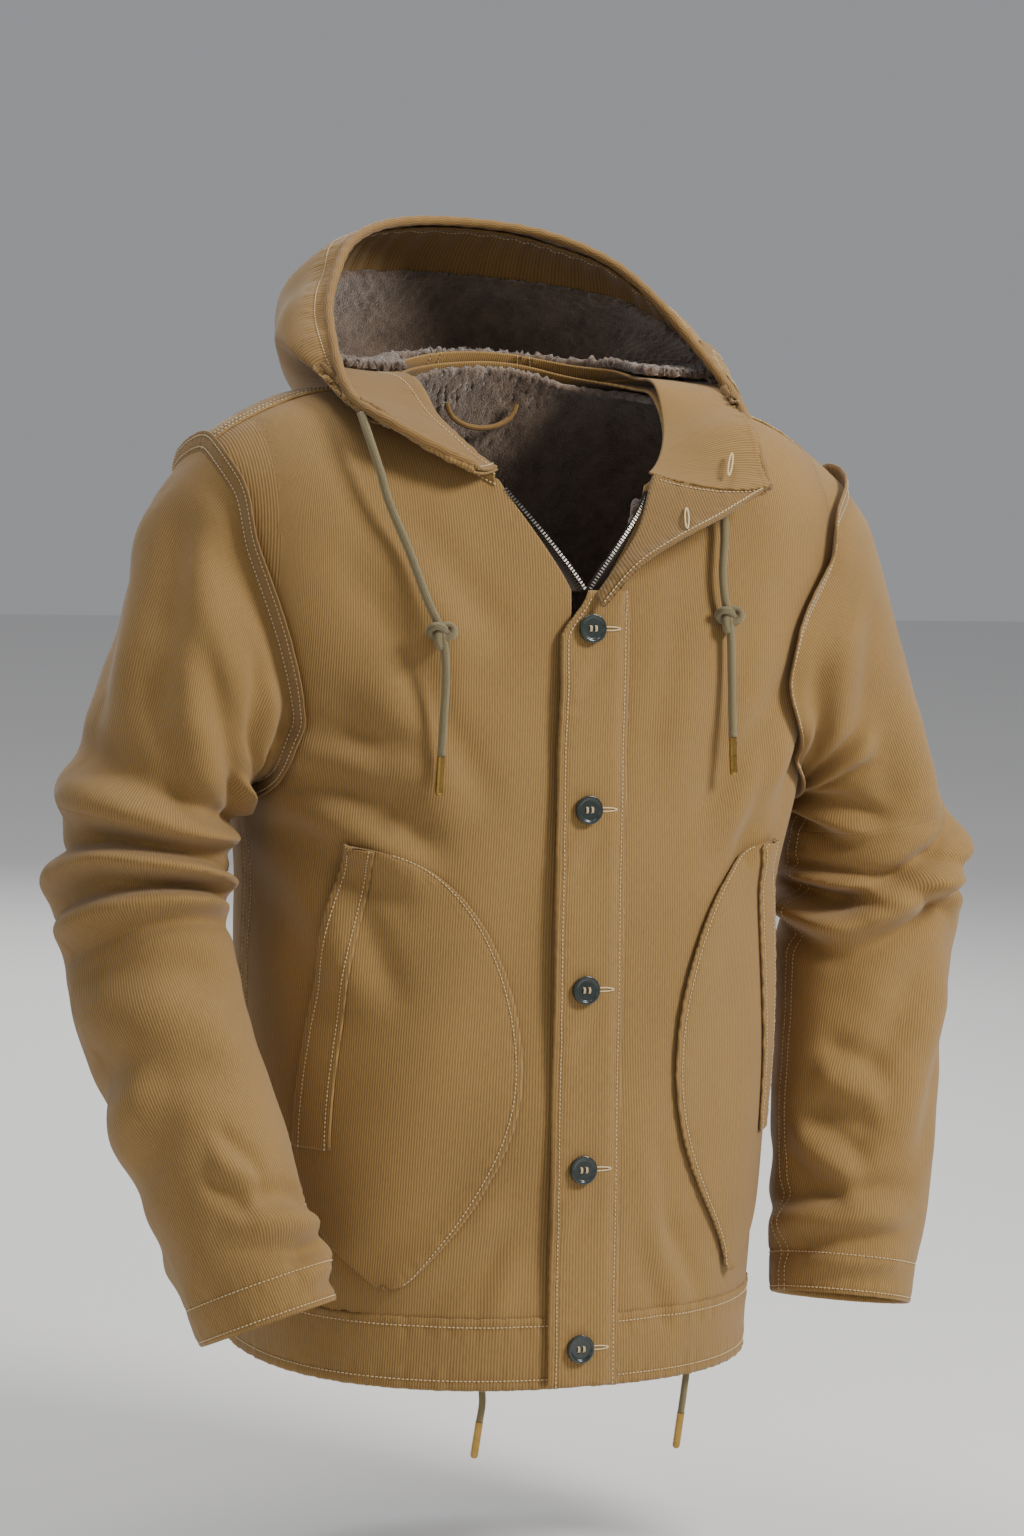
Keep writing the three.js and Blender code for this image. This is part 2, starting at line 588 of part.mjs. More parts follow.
zipPiece('zip_pull', ZIP_X, 5, 1, pullTop, pullTop - ZIP_PULL_LENGTH, sliderLift + 2.2, STEEL);

// Hanger loop inside the back of the neck.
const loopTop = bodyPoint(180, 0.08);
const loopAt = (a) => V(Math.cos(a) * 28, loopTop.y - 16, loopTop.z - 14 - Math.sin(a) * 18);
const loopPoints = Array.from({ length: 7 }, (_, i) => loopAt((i / 6) * Math.PI));
add('hanger_loop', rod(loopPoints, 4, 8, 12), CLOTH);

// ---------- hood ----------
// Stations from the wearer's right chin round the top to the left chin.
// Each row: rim, two handles that shape the bag, and its foot on the neck seam.
const HOOD_ROWS = [
  [[-83, -91, -49], [-86, -95, -54], [-80, -96, -58], 37],
  [[-139, -85, -24], [-150, -85, -32], [-118, -74, -34], 60],
  [[-158, -45, -4], [-180, -38, -10], [-142, -30, -6], 82],
  [[-151, 13, 43], [-212, 30, 28], [-174, 44, 2], 105],
  [[-130, 55, 74], [-188, 94, 60], [-160, 108, -50], 125],
  [[-102, 92, 98], [-158, 178, 92], [-134, 160, -120], 143],
  [[-58, 125, 111], [-92, 246, 106], [-80, 192, -174], 162],
  [[0, 138, 114], [0, 270, 110], [0, 204, -190], 180],
  [[58, 118, 108], [92, 240, 104], [80, 190, -172], 198],
  [[98, 82, 90], [154, 170, 88], [132, 157, -116], 217],
  [[122, 46, 62], [180, 88, 54], [156, 104, -48], 235],
  [[140, 8, 28], [190, 34, 18], [166, 46, 0], 255],
  [[148, -30, 0], [152, -24, -4], [128, -26, -4], 278],
  [[142, -72, -24], [128, -68, -22], [104, -60, -26], 300],
  [[139, -108, -60], [118, -110, -66], [92, -103, -64], 323],
];
const NECK_LIFT = 6; // hood foot above the neck seam
function hoodPoint(u, v) {
  const x = Math.min(Math.max(u, 0), 1) * (HOOD_ROWS.length - 1);
  const k = Math.min(Math.floor(x), HOOD_ROWS.length - 2);
  const f = x - k;
  const near = [k - 1, k, k + 1, k + 2].map((i) => HOOD_ROWS[Math.min(Math.max(i, 0), HOOD_ROWS.length - 1)]);
  const weights = [
    -0.5 * f + f * f - 0.5 * f ** 3,
    1 - 2.5 * f * f + 1.5 * f ** 3,
    0.5 * f + 2 * f * f - 1.5 * f ** 3,
    -0.5 * f * f + 0.5 * f ** 3,
  ];
  const control = [0, 1, 2].map((c) =>
    near.reduce((p, row, i) => p.addScaledVector(V(...row[c]), weights[i]), V(0, 0, 0)),
  );
  const angle = near.reduce((a, row, i) => a + row[3] * weights[i], 0);
  const foot = bodyPoint(-angle > -180 ? -angle : 360 - angle, 0).add(V(0, 0, NECK_LIFT));
  const w = 1 - v;
  return control[0]
    .multiplyScalar(w ** 3)
    .addScaledVector(control[1], 3 * w * w * v)
    .addScaledVector(control[2], 3 * w * v * v)
    .addScaledVector(foot, v ** 3);
}
// Where a hood part starts: the v that lies `distance` behind the rim.
function behindRim(u, distance) {
  const rim = hoodPoint(u, 0);
  let [low, high] = [0, 0.6];
  for (let i = 0; i < 20; i += 1) {
    const mid = (low + high) / 2;
    if (hoodPoint(u, mid).distanceTo(rim) < distance) low = mid;
    else high = mid;
  }
  return low;
}
// Part of the hood between two stations, from `start` mm behind the rim to v = end.
function hoodPart(u0, u1, start, end, nu, nv, outer, inner) {
  const f = (u, v) => {
    const at = lerp(u0, u1, u);
    return hoodPoint(at, lerp(behindRim(at, start), end, v));
  };
  return sheet(f, nu, nv, outer, inner, { away: null });
}
// The same, between two values of v.
function hoodBand(u0, u1, v0, v1, nu, nv, outer, inner) {
  const f = (u, v) => hoodPoint(lerp(u0, u1, u), lerp(v0, v1, v));
  return sheet(f, nu, nv, outer, inner, { away: null });
}
const CENTRE = [0.42, 0.58];
const HOOD_EDGE = 8.4; // mm from the middle of the rolled rim to the panels
const FACING_EDGE = 12;
const FACING_END = 0.24;
const HOOD_SPLIT = 0.68; // where the skirt round the hood's foot begins
const HOOD_FOOT = 0.9;
const half = HOOD_WALL / 2;
const rightSide = [0.13, CENTRE[0] - 0.002];
const leftSide = [CENTRE[1] + 0.002, 0.865];
add('hood_side_right', hoodPart(...rightSide, HOOD_EDGE, HOOD_SPLIT, 7, 5, half, -half), CLOTH);
add('hood_center_panel', hoodPart(...CENTRE, HOOD_EDGE, HOOD_SPLIT, 4, 5, half, -half), CLOTH);
add('hood_side_left', hoodPart(...leftSide, HOOD_EDGE, HOOD_SPLIT, 7, 5, half, -half), CLOTH);
add('hood_chin_right', hoodPart(0.01, 0.126, HOOD_EDGE, HOOD_FOOT, 3, 5, half, -half), CLOTH);
add('hood_chin_left', hoodPart(0.874, 0.99, HOOD_EDGE, HOOD_FOOT, 3, 5, half, -half), CLOTH);
add('hood_skirt', hoodBand(0.13, 0.87, HOOD_SPLIT + 0.015, HOOD_FOOT, 16, 3, half, -half), CLOTH);
const facingOuter = -half - 4;
const facing = hoodPart(0.2, 0.78, FACING_EDGE, FACING_END, 16, 2, facingOuter, facingOuter - 2);
add('hood_facing', facing, CLOTH);
const pileOuter = -half - 3.5;
const pileInner = pileOuter - HOOD_LINING;
const pile = hoodBand(0.2, 0.8, FACING_END + 0.04, HOOD_SPLIT - 0.01, 16, 4, pileOuter, pileInner);
add('hood_lining', pile, PILE);
const neckPile = hoodBand(0.2, 0.8, HOOD_SPLIT + 0.01, 0.9, 16, 3, pileOuter, pileInner);
add('hood_neck_lining', neckPile, PILE);
const rimPoints = Array.from({ length: 25 }, (_, i) => hoodPoint(lerp(0.135, 0.86, i / 24), 0));
add('hood_rim', rod(rimPoints, RIM_D, 8, 30), CLOTH);

// ---------- cords ----------
// Each cord hangs from its exit; the points are its middle line down to its metal tip.
const CORDS = {
  hood_cord_right: {
    d: CORD_D,
    knotAt: 6,
    points: [
      [-157, -66, -18], [-156, -79, -33], [-151, -89, -55], [-145, -94, -77], [-132, -102, -109],
      [-121, -111, -141], [-112, -118, -164], [-109, -121, -190], [-110, -123, -220], [-111, -124, -247],
    ],
  },
  hood_cord_left: {
    d: CORD_D,
    knotAt: 5,
    points: [
      [111, -91, -70], [112, -94, -85], [110, -100, -100], [107, -106, -120], [107, -111, -138],
      [110, -114, -152], [111, -117, -172], [112, -119, -196], [113, -120, -216], [114, -121, -235],
    ],
  },
  hem_cord_right: {
    d: HEM_CORD_D,
    points: [[-62, -133, -675], [-62, -134, -688], [-61, -134, -701], [-62, -133, -714]],
  },
  hem_cord_left: {
    d: HEM_CORD_D,
    points: [[104, -119, -675], [105, -120, -690], [104, -120, -706], [103, -119, -722]],
  },
};
function alongCord(mesh, at, direction) {
  mesh.position.copy(at);
  mesh.quaternion.setFromUnitVectors(V(0, 1, 0), direction.clone().normalize());
}
const ring = (r, h) => new THREE.Vector2(r, h);
const knotProfile = [
  ring(0, -7),
  ring(KNOT_R * 0.75, -6),
  ring(KNOT_R, -1.5),
  ring(KNOT_R, 1.5),
  ring(KNOT_R * 0.75, 6),
  ring(0, 7),
];
const tipProfile = [
  ring(0, 0.3),
  ring(TIP_D / 2, 0.3),
  ring(TIP_D / 2, TIP_LENGTH - 2),
  ring(TIP_D / 3, TIP_LENGTH - 0.4),
  ring(0, TIP_LENGTH),
];
for (const [name, { d, points, knotAt }] of Object.entries(CORDS)) {
  const line = points.map((p) => V(...p));
  const end = line[line.length - 1];
  const down = end.clone().sub(line[line.length - 2]);
  let cord = rod(line, d, 8, 2 * points.length);
  if (knotAt) {
    const knot = new THREE.LatheGeometry(knotProfile, 12);
    const place = new THREE.Mesh(knot);
    alongCord(place, line[knotAt], line[knotAt + 1].clone().sub(line[knotAt - 1]));
    place.updateMatrix();
    knot.applyMatrix4(place.matrix);
    cord = fromManifold(toManifold(cord).add(toManifold(knot)));
  }
  add(name, cord, CORD);
  alongCord(add(name + '_tip', new THREE.LatheGeometry(tipProfile, 12), BRASS), end, down);
}

export default group;
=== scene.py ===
# Hooded deck jacket: the looks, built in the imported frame.
# Shapes are worked out in millimetres (+Z up, front to -Y, wearer's left to +X) and made into meshes in metres.
import math

import bmesh
import bpy
import numpy as np
from mathutils import Matrix, Vector, kdtree


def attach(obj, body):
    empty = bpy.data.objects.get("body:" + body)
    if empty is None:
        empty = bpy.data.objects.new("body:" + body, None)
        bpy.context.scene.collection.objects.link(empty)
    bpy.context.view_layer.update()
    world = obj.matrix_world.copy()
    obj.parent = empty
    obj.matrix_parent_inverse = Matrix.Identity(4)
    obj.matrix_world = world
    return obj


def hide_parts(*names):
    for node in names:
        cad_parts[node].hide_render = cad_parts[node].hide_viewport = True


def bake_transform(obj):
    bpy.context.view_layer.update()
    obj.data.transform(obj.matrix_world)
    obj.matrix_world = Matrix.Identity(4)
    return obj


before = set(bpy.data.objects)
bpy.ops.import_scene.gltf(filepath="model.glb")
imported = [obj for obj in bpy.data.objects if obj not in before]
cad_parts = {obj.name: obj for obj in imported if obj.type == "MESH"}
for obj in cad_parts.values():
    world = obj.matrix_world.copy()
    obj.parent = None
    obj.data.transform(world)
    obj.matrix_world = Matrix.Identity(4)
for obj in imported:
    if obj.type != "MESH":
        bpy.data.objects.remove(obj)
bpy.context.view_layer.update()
bpy.ops.object.select_all(action="DESELECT")
MM = 0.001

# ---------- camera ----------
AZIMUTH, ELEVATION, ROLL = (math.radians(a) for a in (-25, 7, -2.8))
DISTANCE = 3.3
TARGET = Vector((-0.0135, -0.0300, -0.2682))
LENS, SENSOR_HEIGHT = 108.9, 36


def make_camera():
    back = Vector(
        (math.sin(AZIMUTH) * math.cos(ELEVATION), -math.cos(AZIMUTH) * math.cos(ELEVATION), math.sin(ELEVATION))
    )
    level = Vector((math.cos(AZIMUTH), math.sin(AZIMUTH), 0))
    upright = back.cross(level)
    right = level * math.cos(ROLL) - upright * math.sin(ROLL)
    up = upright * math.cos(ROLL) + level * math.sin(ROLL)
    data = bpy.data.cameras.new("camera")
    data.sensor_fit = "VERTICAL"
    data.sensor_height = SENSOR_HEIGHT
    data.lens = LENS
    camera = bpy.data.objects.new("camera", data)
    axes = Matrix((right, up, back)).transposed().to_4x4()
    camera.matrix_world = Matrix.Translation(TARGET + back * DISTANCE) @ axes
    bpy.context.scene.collection.objects.link(camera)
    bpy.context.scene.camera = camera


make_camera()

# ---------- arithmetic ----------
def lerp(a, b, t):
    return a + (b - a) * t


def smooth(x, low, high):
    t = np.clip((np.asarray(x, float) - low) / (high - low), 0, 1)
    return t * t * (3 - 2 * t)


def unit(v):
    return v / np.maximum(np.linalg.norm(v, axis=-1, keepdims=True), 1e-9)


def catmull(rows, x):
    """Smooth curve through rows, an array whose first axis is the stations, at station numbers x."""
    last = len(rows) - 1
    x = np.clip(x, 0, last)
    k = np.clip(np.floor(x).astype(int), 0, last - 1)
    f = x - k
    weights = (
        -0.5 * f + f * f - 0.5 * f**3,
        1 - 2.5 * f * f + 1.5 * f**3,
        0.5 * f + 2 * f * f - 1.5 * f**3,
        -0.5 * f * f + 0.5 * f**3,
    )
    return sum(rows[np.clip(k + s - 1, 0, last)] * w[..., None] for s, w in enumerate(weights))


def resample(points, step):
    """Points a fixed step apart along a polyline."""
    points = np.asarray(points, float)
    along = np.concatenate([[0], np.cumsum(np.linalg.norm(np.diff(points, axis=0), axis=1))])
    count = max(2, int(round(along[-1] / step)) + 1)
    at = np.linspace(0, along[-1], count)
    return np.stack([np.interp(at, along, points[:, i]) for i in range(points.shape[1])], axis=1)


# ---------- meshes ----------
def make_object(name, vertices, faces, uvs=None, scale=MM):
    mesh = bpy.data.meshes.new(name)
    mesh.from_pydata((np.asarray(vertices) * scale).tolist(), [], [list(map(int, f)) for f in faces])
    if uvs is not None:
        layer = mesh.uv_layers.new(name="cloth")
        loops = np.zeros(len(mesh.loops), int)
        mesh.loops.foreach_get("vertex_index", loops)
        layer.data.foreach_set("uv", (np.asarray(uvs)[loops] * scale).astype(np.float32).ravel())
    mesh.shade_smooth()
    mesh.update()
    obj = bpy.data.objects.new(name, mesh)
    bpy.context.scene.collection.objects.link(obj)
    return obj


def shell(name, outer, inner, quads, uvs, rim=0.45):
    """A closed sheet: outer and inner points of a grid, joined by a rounded rim along the grid's border."""
    count = len(outer)
    quads = np.asarray(quads)
    edges = np.concatenate([quads[:, [i, (i + 1) % 4]] for i in range(4)])
    key = np.sort(edges, axis=1)
    _, first, times = np.unique(key, axis=0, return_index=True, return_counts=True)
    border = edges[first[times == 1]]
    centre = outer[quads].mean(axis=1)
    push = np.zeros((count, 3))
    for i in range(4):
        np.add.at(push, quads[:, i], outer[quads[:, i]] - centre)
    rim_ids = np.unique(border)
    new_id = {v: 2 * count + i for i, v in enumerate(rim_ids)}
    thick = np.linalg.norm(outer[rim_ids] - inner[rim_ids], axis=1, keepdims=True)
    middle = (outer[rim_ids] + inner[rim_ids]) / 2 + unit(push[rim_ids]) * thick * rim
    faces = quads.tolist() + (quads[:, ::-1] + count).tolist()
    for a, b in border:
        ma, mb = new_id[a], new_id[b]
        faces.append([b, a, ma, mb])
        faces.append([mb, ma, a + count, b + count])
    vertices = np.concatenate([outer, inner, middle])
    all_uvs = np.concatenate([uvs, uvs, uvs[rim_ids]])
    return make_object(name, vertices, faces, all_uvs)


def surface(f, u, v, out=None):
    """Points of f and unit normals: away from the body, or with out = 1 or -1 the side that u and v turn about."""
    e = 1e-3
    p = f(u, v)
    n = unit(np.cross(f(u + e, v) - f(u - e, v), f(u, v + e) - f(u, v - e)))
    if out is None:
        side = (n * (p * [1, 1, 0] + [0, 0, 60])).sum(axis=-1, keepdims=True)
        return p, np.where(side < 0, -n, n)
    return p, n * out


def no_folds(p, u, v):
    return np.zeros(p.shape[:-1])


STITCHES = {}
STITCH_PITCH, STITCH_LENGTH, THREAD_R = 3.1, 2.3, 0.42
STITCH_SUNK = 0.3
DENT, DENT_WIDTH = 0.55, 1.8
PUCKER_AT, PUCKER_WIDTH = 5, 4.5
FAR_FROM_SEAM = 60.0
SEAM_STEP = 1.5
UV_PARTS, UV_STEP = 1000, 2


def raised(f, u, v, out, lift, folds):
    """Points of f, the same points moved out by lift and folds, and their normals."""
    p, n = surface(f, u, v, out)
    height = (lift(u, v) if callable(lift) else lift) + folds(p, u, v)
    return p, p + n * height[..., None], n


def seam_row(line, *cloth_facts):
    """Points along a stitched line, given in u and v, and the cloth's normals there."""
    dense = resample(np.stack(line, axis=1) * UV_PARTS, UV_STEP) / UV_PARTS
    f, *rest = cloth_facts
    _, p, n = raised(f, dense[:, 0], dense[:, 1], *rest)
    both = resample(np.concatenate([p, n], axis=1), SEAM_STEP)
    return both[:, :3], unit(both[:, 3:])


def pucker_at_seams(points, rows, pucker):
    """How far each point moves for the dents and puckers along the seams, and how far away its seam is."""
    tree = kdtree.KDTree(sum(len(r) for r, _ in rows))
    along = []
    for r, _ in rows:
        for i, q in enumerate(r):
            tree.insert(q, len(along))
            along.append(i * SEAM_STEP)
    tree.balance()
    found = [tree.find(q) for q in points]
    seam = np.array([d for _, _, d in found])
    s = np.array([along[i] for _, i, _ in found])
    wave = np.sin(s * 0.83 + 2 * np.sin(s * 0.19)) * 0.6 + np.sin(s * 0.37 + 1) * 0.4
    dent = -DENT * np.exp(-((seam / DENT_WIDTH) ** 2))
    return dent + pucker * wave * np.exp(-(((seam - PUCKER_AT) / PUCKER_WIDTH) ** 2)), seam


def cloth(name, f, nu, nv, thick, folds=no_folds, lines=(), owner="jacket_body", around=False, out=None,
          lift=0.0, uv=None, keep=None, pucker=0.5):
    """A sheet of cloth over f(u, v), with folds, stitched lines and puckers along them."""
    cols = nu if around else nu + 1
    v, u = np.meshgrid(np.linspace(0, 1, nv + 1), np.arange(cols) / nu, indexing="ij")
    base, p, n = raised(f, u, v, out, lift, folds)
    flat, normals = p.reshape(-1, 3), n.reshape(-1, 3)
    seam = np.full(len(flat), FAR_FROM_SEAM)
    rows = [seam_row(line, f, out, lift, folds) for line in lines]
    if rows:
        move, seam = pucker_at_seams(flat, rows, pucker)
        flat = flat + normals * move[:, None]
        STITCHES.setdefault(owner, []).extend((r - rn * STITCH_SUNK, rn) for r, rn in rows)
    uvs = uv(base, u, v).reshape(-1, 2) if uv else np.stack([u * 100, v * 100], axis=-1).reshape(-1, 2)
    i, j = np.meshgrid(np.arange(nu), np.arange(nv))
    a, b = j * cols + i, j * cols + (i + 1) % cols
    quads = np.stack([a, b, b + cols, a + cols], axis=-1).reshape(-1, 4)
    if keep is not None:
        flat, quads = keep(flat, base.reshape(-1, 3), quads)
    grid_normal = np.zeros_like(flat)
    face_normal = np.cross(flat[quads[:, 2]] - flat[quads[:, 0]], flat[quads[:, 3]] - flat[quads[:, 1]])
    for k in range(4):
        np.add.at(grid_normal, quads[:, k], face_normal)
    grid_normal = unit(grid_normal)
    if (grid_normal * normals).sum() < 0:
        quads, grid_normal = quads[:, ::-1], -grid_normal
    inner = flat - grid_normal * thick
    used, back = np.unique(quads, return_inverse=True)
    quads = back.reshape(quads.shape)
    obj = shell(name, flat[used], inner[used], quads, uvs[used])
    values = np.full(len(obj.data.vertices), FAR_FROM_SEAM)
    values[: len(used)] = seam[used]
    attribute = obj.data.attributes.new("seam", "FLOAT", "POINT")
    attribute.data.foreach_set("value", np.asarray(values, np.float32))
    return obj


def along_v(*places):
    """Straight stitched lines from end to end of a piece, each at its own u."""
    return [([u, u], [0, 1]) for u in places]


def along_u(*places):
    """Straight stitched lines across a piece, each at its own v."""
    return [([0, 1], [v, v]) for v in places]


def tube(name, points, radius, sides=12, closed=False):
    """A round tube along points, with u round it and v along it, in millimetres."""
    points = np.asarray(points, float)
    if closed:
        tangent = unit(np.roll(points, -1, axis=0) - np.roll(points, 1, axis=0))
    else:
        tangent = unit(np.gradient(points, axis=0))
    side = np.zeros_like(points)
    side[0] = unit(np.cross(tangent[0], [0.3, 0.5, 0.81]))
    for k in range(1, len(points)):
        side[k] = unit(side[k - 1] - tangent[k] * (side[k - 1] @ tangent[k]))
    other = np.cross(tangent, side)
    angle = np.arange(sides) / sides * 2 * np.pi
    radius = np.broadcast_to(np.asarray(radius, float), len(points))
    ring = np.cos(angle)[None, :, None] * side[:, None] + np.sin(angle)[None, :, None] * other[:, None]
    vertices = (points[:, None] + ring * radius[:, None, None]).reshape(-1, 3)
    along = np.concatenate([[0], np.cumsum(np.linalg.norm(np.diff(points, axis=0), axis=1))])
    uvs = np.stack(np.broadcast_arrays(angle[None, :] * radius[:, None], along[:, None]), axis=-1).reshape(-1, 2)
    count = len(points)
    faces = []
    for k in range(count if closed else count - 1):
        for i in range(sides):
            a, b = k * sides + i, k * sides + (i + 1) % sides
            c, d = ((k + 1) % count) * sides + (i + 1) % sides, ((k + 1) % count) * sides + i
            faces.append([a, b, c, d])
    if not closed:
        faces.append(list(range(sides))[::-1])
        faces.append([(count - 1) * sides + i for i in range(sides)])
    return make_object(name, vertices, faces, uvs)


# ---------- the body's sizes, as in the frame, and the formula of its outside ----------
BODY_HALF_WIDTH, HEM_HALF_WIDTH, CHEST_HALF_WIDTH, YOKE_HALF_WIDTH = 198, 189, 213, 277
CHEST_Z, HEM_Z = -240, -687
FRONT_DEPTH_TOP, FRONT_SLOPE, BACK_DEPTH = 119, 0.08, 130
SECTION_POWER, CHEST_POWER = 2.3, 2.9
NECK_RADIUS, NECK_FRONT_Z, NECK_SIDE_Z, NECK_BACK_Z, NECK_POWER = 92, -62, 0, 14, 2.5
# Heights above the hem, below the chest and above the chest where the width and the squareness change.
HEM_NARROWING, ARMPIT_FLARE, YOKE_TOP_Z = 200, 130, -50
SQUARE_REACH, SQUARE_TOP_Z = 200, -90
YOKE_FALL, YOKE_FALL_SIDE, SHOULDER_SPREAD, SHOULDER_SPREAD_SIDE = 1.1, 0.3, 1.9, 3.1
LEFT_SHOULDER_DROP = 14
NECK_FRONT_ANGLE, V_DEPTH_Z = 36, -134
ZIP_GAP, HEM_BAND_HEIGHT = 13, 48
SIDE_ANGLE = 94
HALVINGS, FRONT_HALVINGS = 26, 22  # steps of the searches for a height and for an angle


def from_front(angle):
    """Degrees from the middle of the front, from 0 to 180 on either side."""
    return np.abs((np.asarray(angle, float) + 180) % 360 - 180)


def neck_seam(angle):
    """Radius and height of the seam between the body and the hood."""
    s, c = np.abs(np.sin(np.radians(angle))), np.abs(np.cos(np.radians(angle)))
    a = from_front(angle)
    front = lerp(NECK_FRONT_Z, NECK_SIDE_Z, smooth(a, 30, 92))
    rear = lerp(NECK_SIDE_Z, NECK_BACK_Z, smooth(a, 92, 180))
    return NECK_RADIUS / (s**NECK_POWER + c**NECK_POWER) ** (1 / NECK_POWER), np.where(a < 92, front, rear)


def front_depth(z):
    return FRONT_DEPTH_TOP + (CHEST_Z - z) * FRONT_SLOPE


def section_radius(angle, z):
    """Radius of the rounded, squared-off section of the body at a height."""
    body_width = lerp(HEM_HALF_WIDTH, BODY_HALF_WIDTH, smooth(z, HEM_Z, HEM_Z + HEM_NARROWING))
    chest = lerp(body_width, CHEST_HALF_WIDTH, smooth(z, CHEST_Z - ARMPIT_FLARE, CHEST_Z))
    width = lerp(chest, YOKE_HALF_WIDTH, smooth(z, CHEST_Z, YOKE_TOP_Z))
    square = smooth(z, CHEST_Z - SQUARE_REACH, CHEST_Z) * (1 - smooth(z, CHEST_Z, SQUARE_TOP_Z))
    power = lerp(SECTION_POWER, CHEST_POWER, square)
    s, c = np.abs(np.sin(np.radians(angle))), np.cos(np.radians(angle))
    depth = np.where(c > 0, front_depth(np.minimum(z, CHEST_Z)), BACK_DEPTH)
    return ((s / width) ** power + (np.abs(c) / depth) ** power) ** (-1 / power)


def body(angle, t):
    """The jacket's outside: t from 0 at the neck seam to 1 at the chest and 2 at the hem."""
    angle, t = np.broadcast_arrays(np.asarray(angle, float), np.asarray(t, float))
    neck_r, neck_z = neck_seam(angle)
    a = from_front(angle)
    side = smooth(a, 35, 90) * (1 - smooth(a, 100, 160))
    yoke = np.clip(t, 0, 1)
    fall = lerp(neck_z, CHEST_Z, yoke ** (YOKE_FALL + YOKE_FALL_SIDE * side))
    z = np.where(t > 1, lerp(CHEST_Z, HEM_Z, t - 1), fall)
    spread = 1 - (1 - yoke) ** (SHOULDER_SPREAD + SHOULDER_SPREAD_SIDE * side)
    r = lerp(neck_r, section_radius(angle, z), spread)
    down = smooth(t, 0, 0.3) * (1 - smooth(t, 0.5, 1))
    drop = LEFT_SHOULDER_DROP * np.exp(-(((angle - 90) / 35) ** 2)) * down
    rad = np.radians(angle)
    return np.stack([r * np.sin(rad), -r * np.cos(rad), z - drop], axis=-1)


def t_of(angle, z):
    """Where the body has height z at an angle."""
    angle, z = np.broadcast_arrays(np.asarray(angle, float), np.asarray(z, float))
    low, high = np.zeros(z.shape), np.ones(z.shape)
    if (z > CHEST_Z).any():
        for _ in range(HALVINGS):
            mid = (low + high) / 2
            above = body(angle, mid)[..., 2] > z
            low, high = np.where(above, mid, low), np.where(above, high, mid)
    return np.where(z > CHEST_Z, low, 1 + (CHEST_Z - z) / (CHEST_Z - HEM_Z))


def edge_angle(t, side, inset):
    """Angle of a front edge: straight below the V, opening to the neck seam above it."""
    v_t = float(t_of(0, V_DEPTH_Z))
    y = body(0, np.clip(t, v_t, 2))[..., 1]
    straight = np.degrees(np.arctan2(side * inset, -y))
    opening = np.clip((v_t - t) / v_t, 0, 1) ** 1.1
    return lerp(straight, side * NECK_FRONT_ANGLE, opening)


def on_front(x, z):
    """The front's point at a given x and z."""
    x, z = np.broadcast_arrays(np.asarray(x, float), np.asarray(z, float))
    low, high = np.zeros(x.shape), np.full(x.shape, 95.0)
    for _ in range(FRONT_HALVINGS):
        mid = (low + high) / 2
        inside = np.abs(body(mid, t_of(mid, z))[..., 0]) < np.abs(x)
        low, high = np.where(inside, mid, low), np.where(inside, high, mid)
    sign = np.where(x < 0, -1, 1)
    return body(sign * low, t_of(low, z))


REF_ANGLE = np.linspace(0, 90, 91)
REF_POINT = {f: body(REF_ANGLE if f else 180 - REF_ANGLE, np.ones(91)) for f in (True, False)}


def grain(p, u, v):
    """Cloth coordinates: across the cords, which hang straight down, and along them."""
    angle = np.degrees(np.arctan2(p[..., 0], -p[..., 1]))
    is_front = np.abs(angle) <= 90
    across = np.zeros(p.shape[:-1])
    for f in (True, False):
        ref = REF_POINT[f]
        arc = np.concatenate([[0], np.cumsum(np.linalg.norm(np.diff(ref, axis=0), axis=1))])
        local = np.abs(angle) if f else 180 - np.abs(angle)
        by_x = np.interp(np.abs(p[..., 0]), ref[:, 0], REF_ANGLE)
        low = smooth(-p[..., 2], -CHEST_Z - 30, -CHEST_Z + 60)
        a = lerp(by_x, local, low)
        extra = np.maximum(np.abs(p[..., 0]) - CHEST_HALF_WIDTH, 0) * (1 - low)
        value = (np.interp(a, REF_ANGLE, arc) + extra) * np.sign(p[..., 0])
        across = np.where(is_front == f, value, across)
    return np.stack([across, p[..., 2]], axis=-1)


def ridge(x, y, a, b, height, width):
    """A fold: a ridge from point a to point b, with a valley on each side of it."""
    ax, ay = a
    dx, dy = b[0] - ax, b[1] - ay
    length = math.hypot(dx, dy)
    s = ((x - ax) * dx + (y - ay) * dy) / length
    d = ((x - ax) * dy - (y - ay) * dx) / length
    fade = smooth(s, -0.25 * length, 0.2 * length) * (1 - smooth(s, 0.8 * length, 1.25 * length))
    shape = np.exp(-((d / width) ** 2)) - 0.7 * np.exp(-(((np.abs(d) - 1.5 * width) / (0.7 * width)) ** 2))
    return height * fade * shape


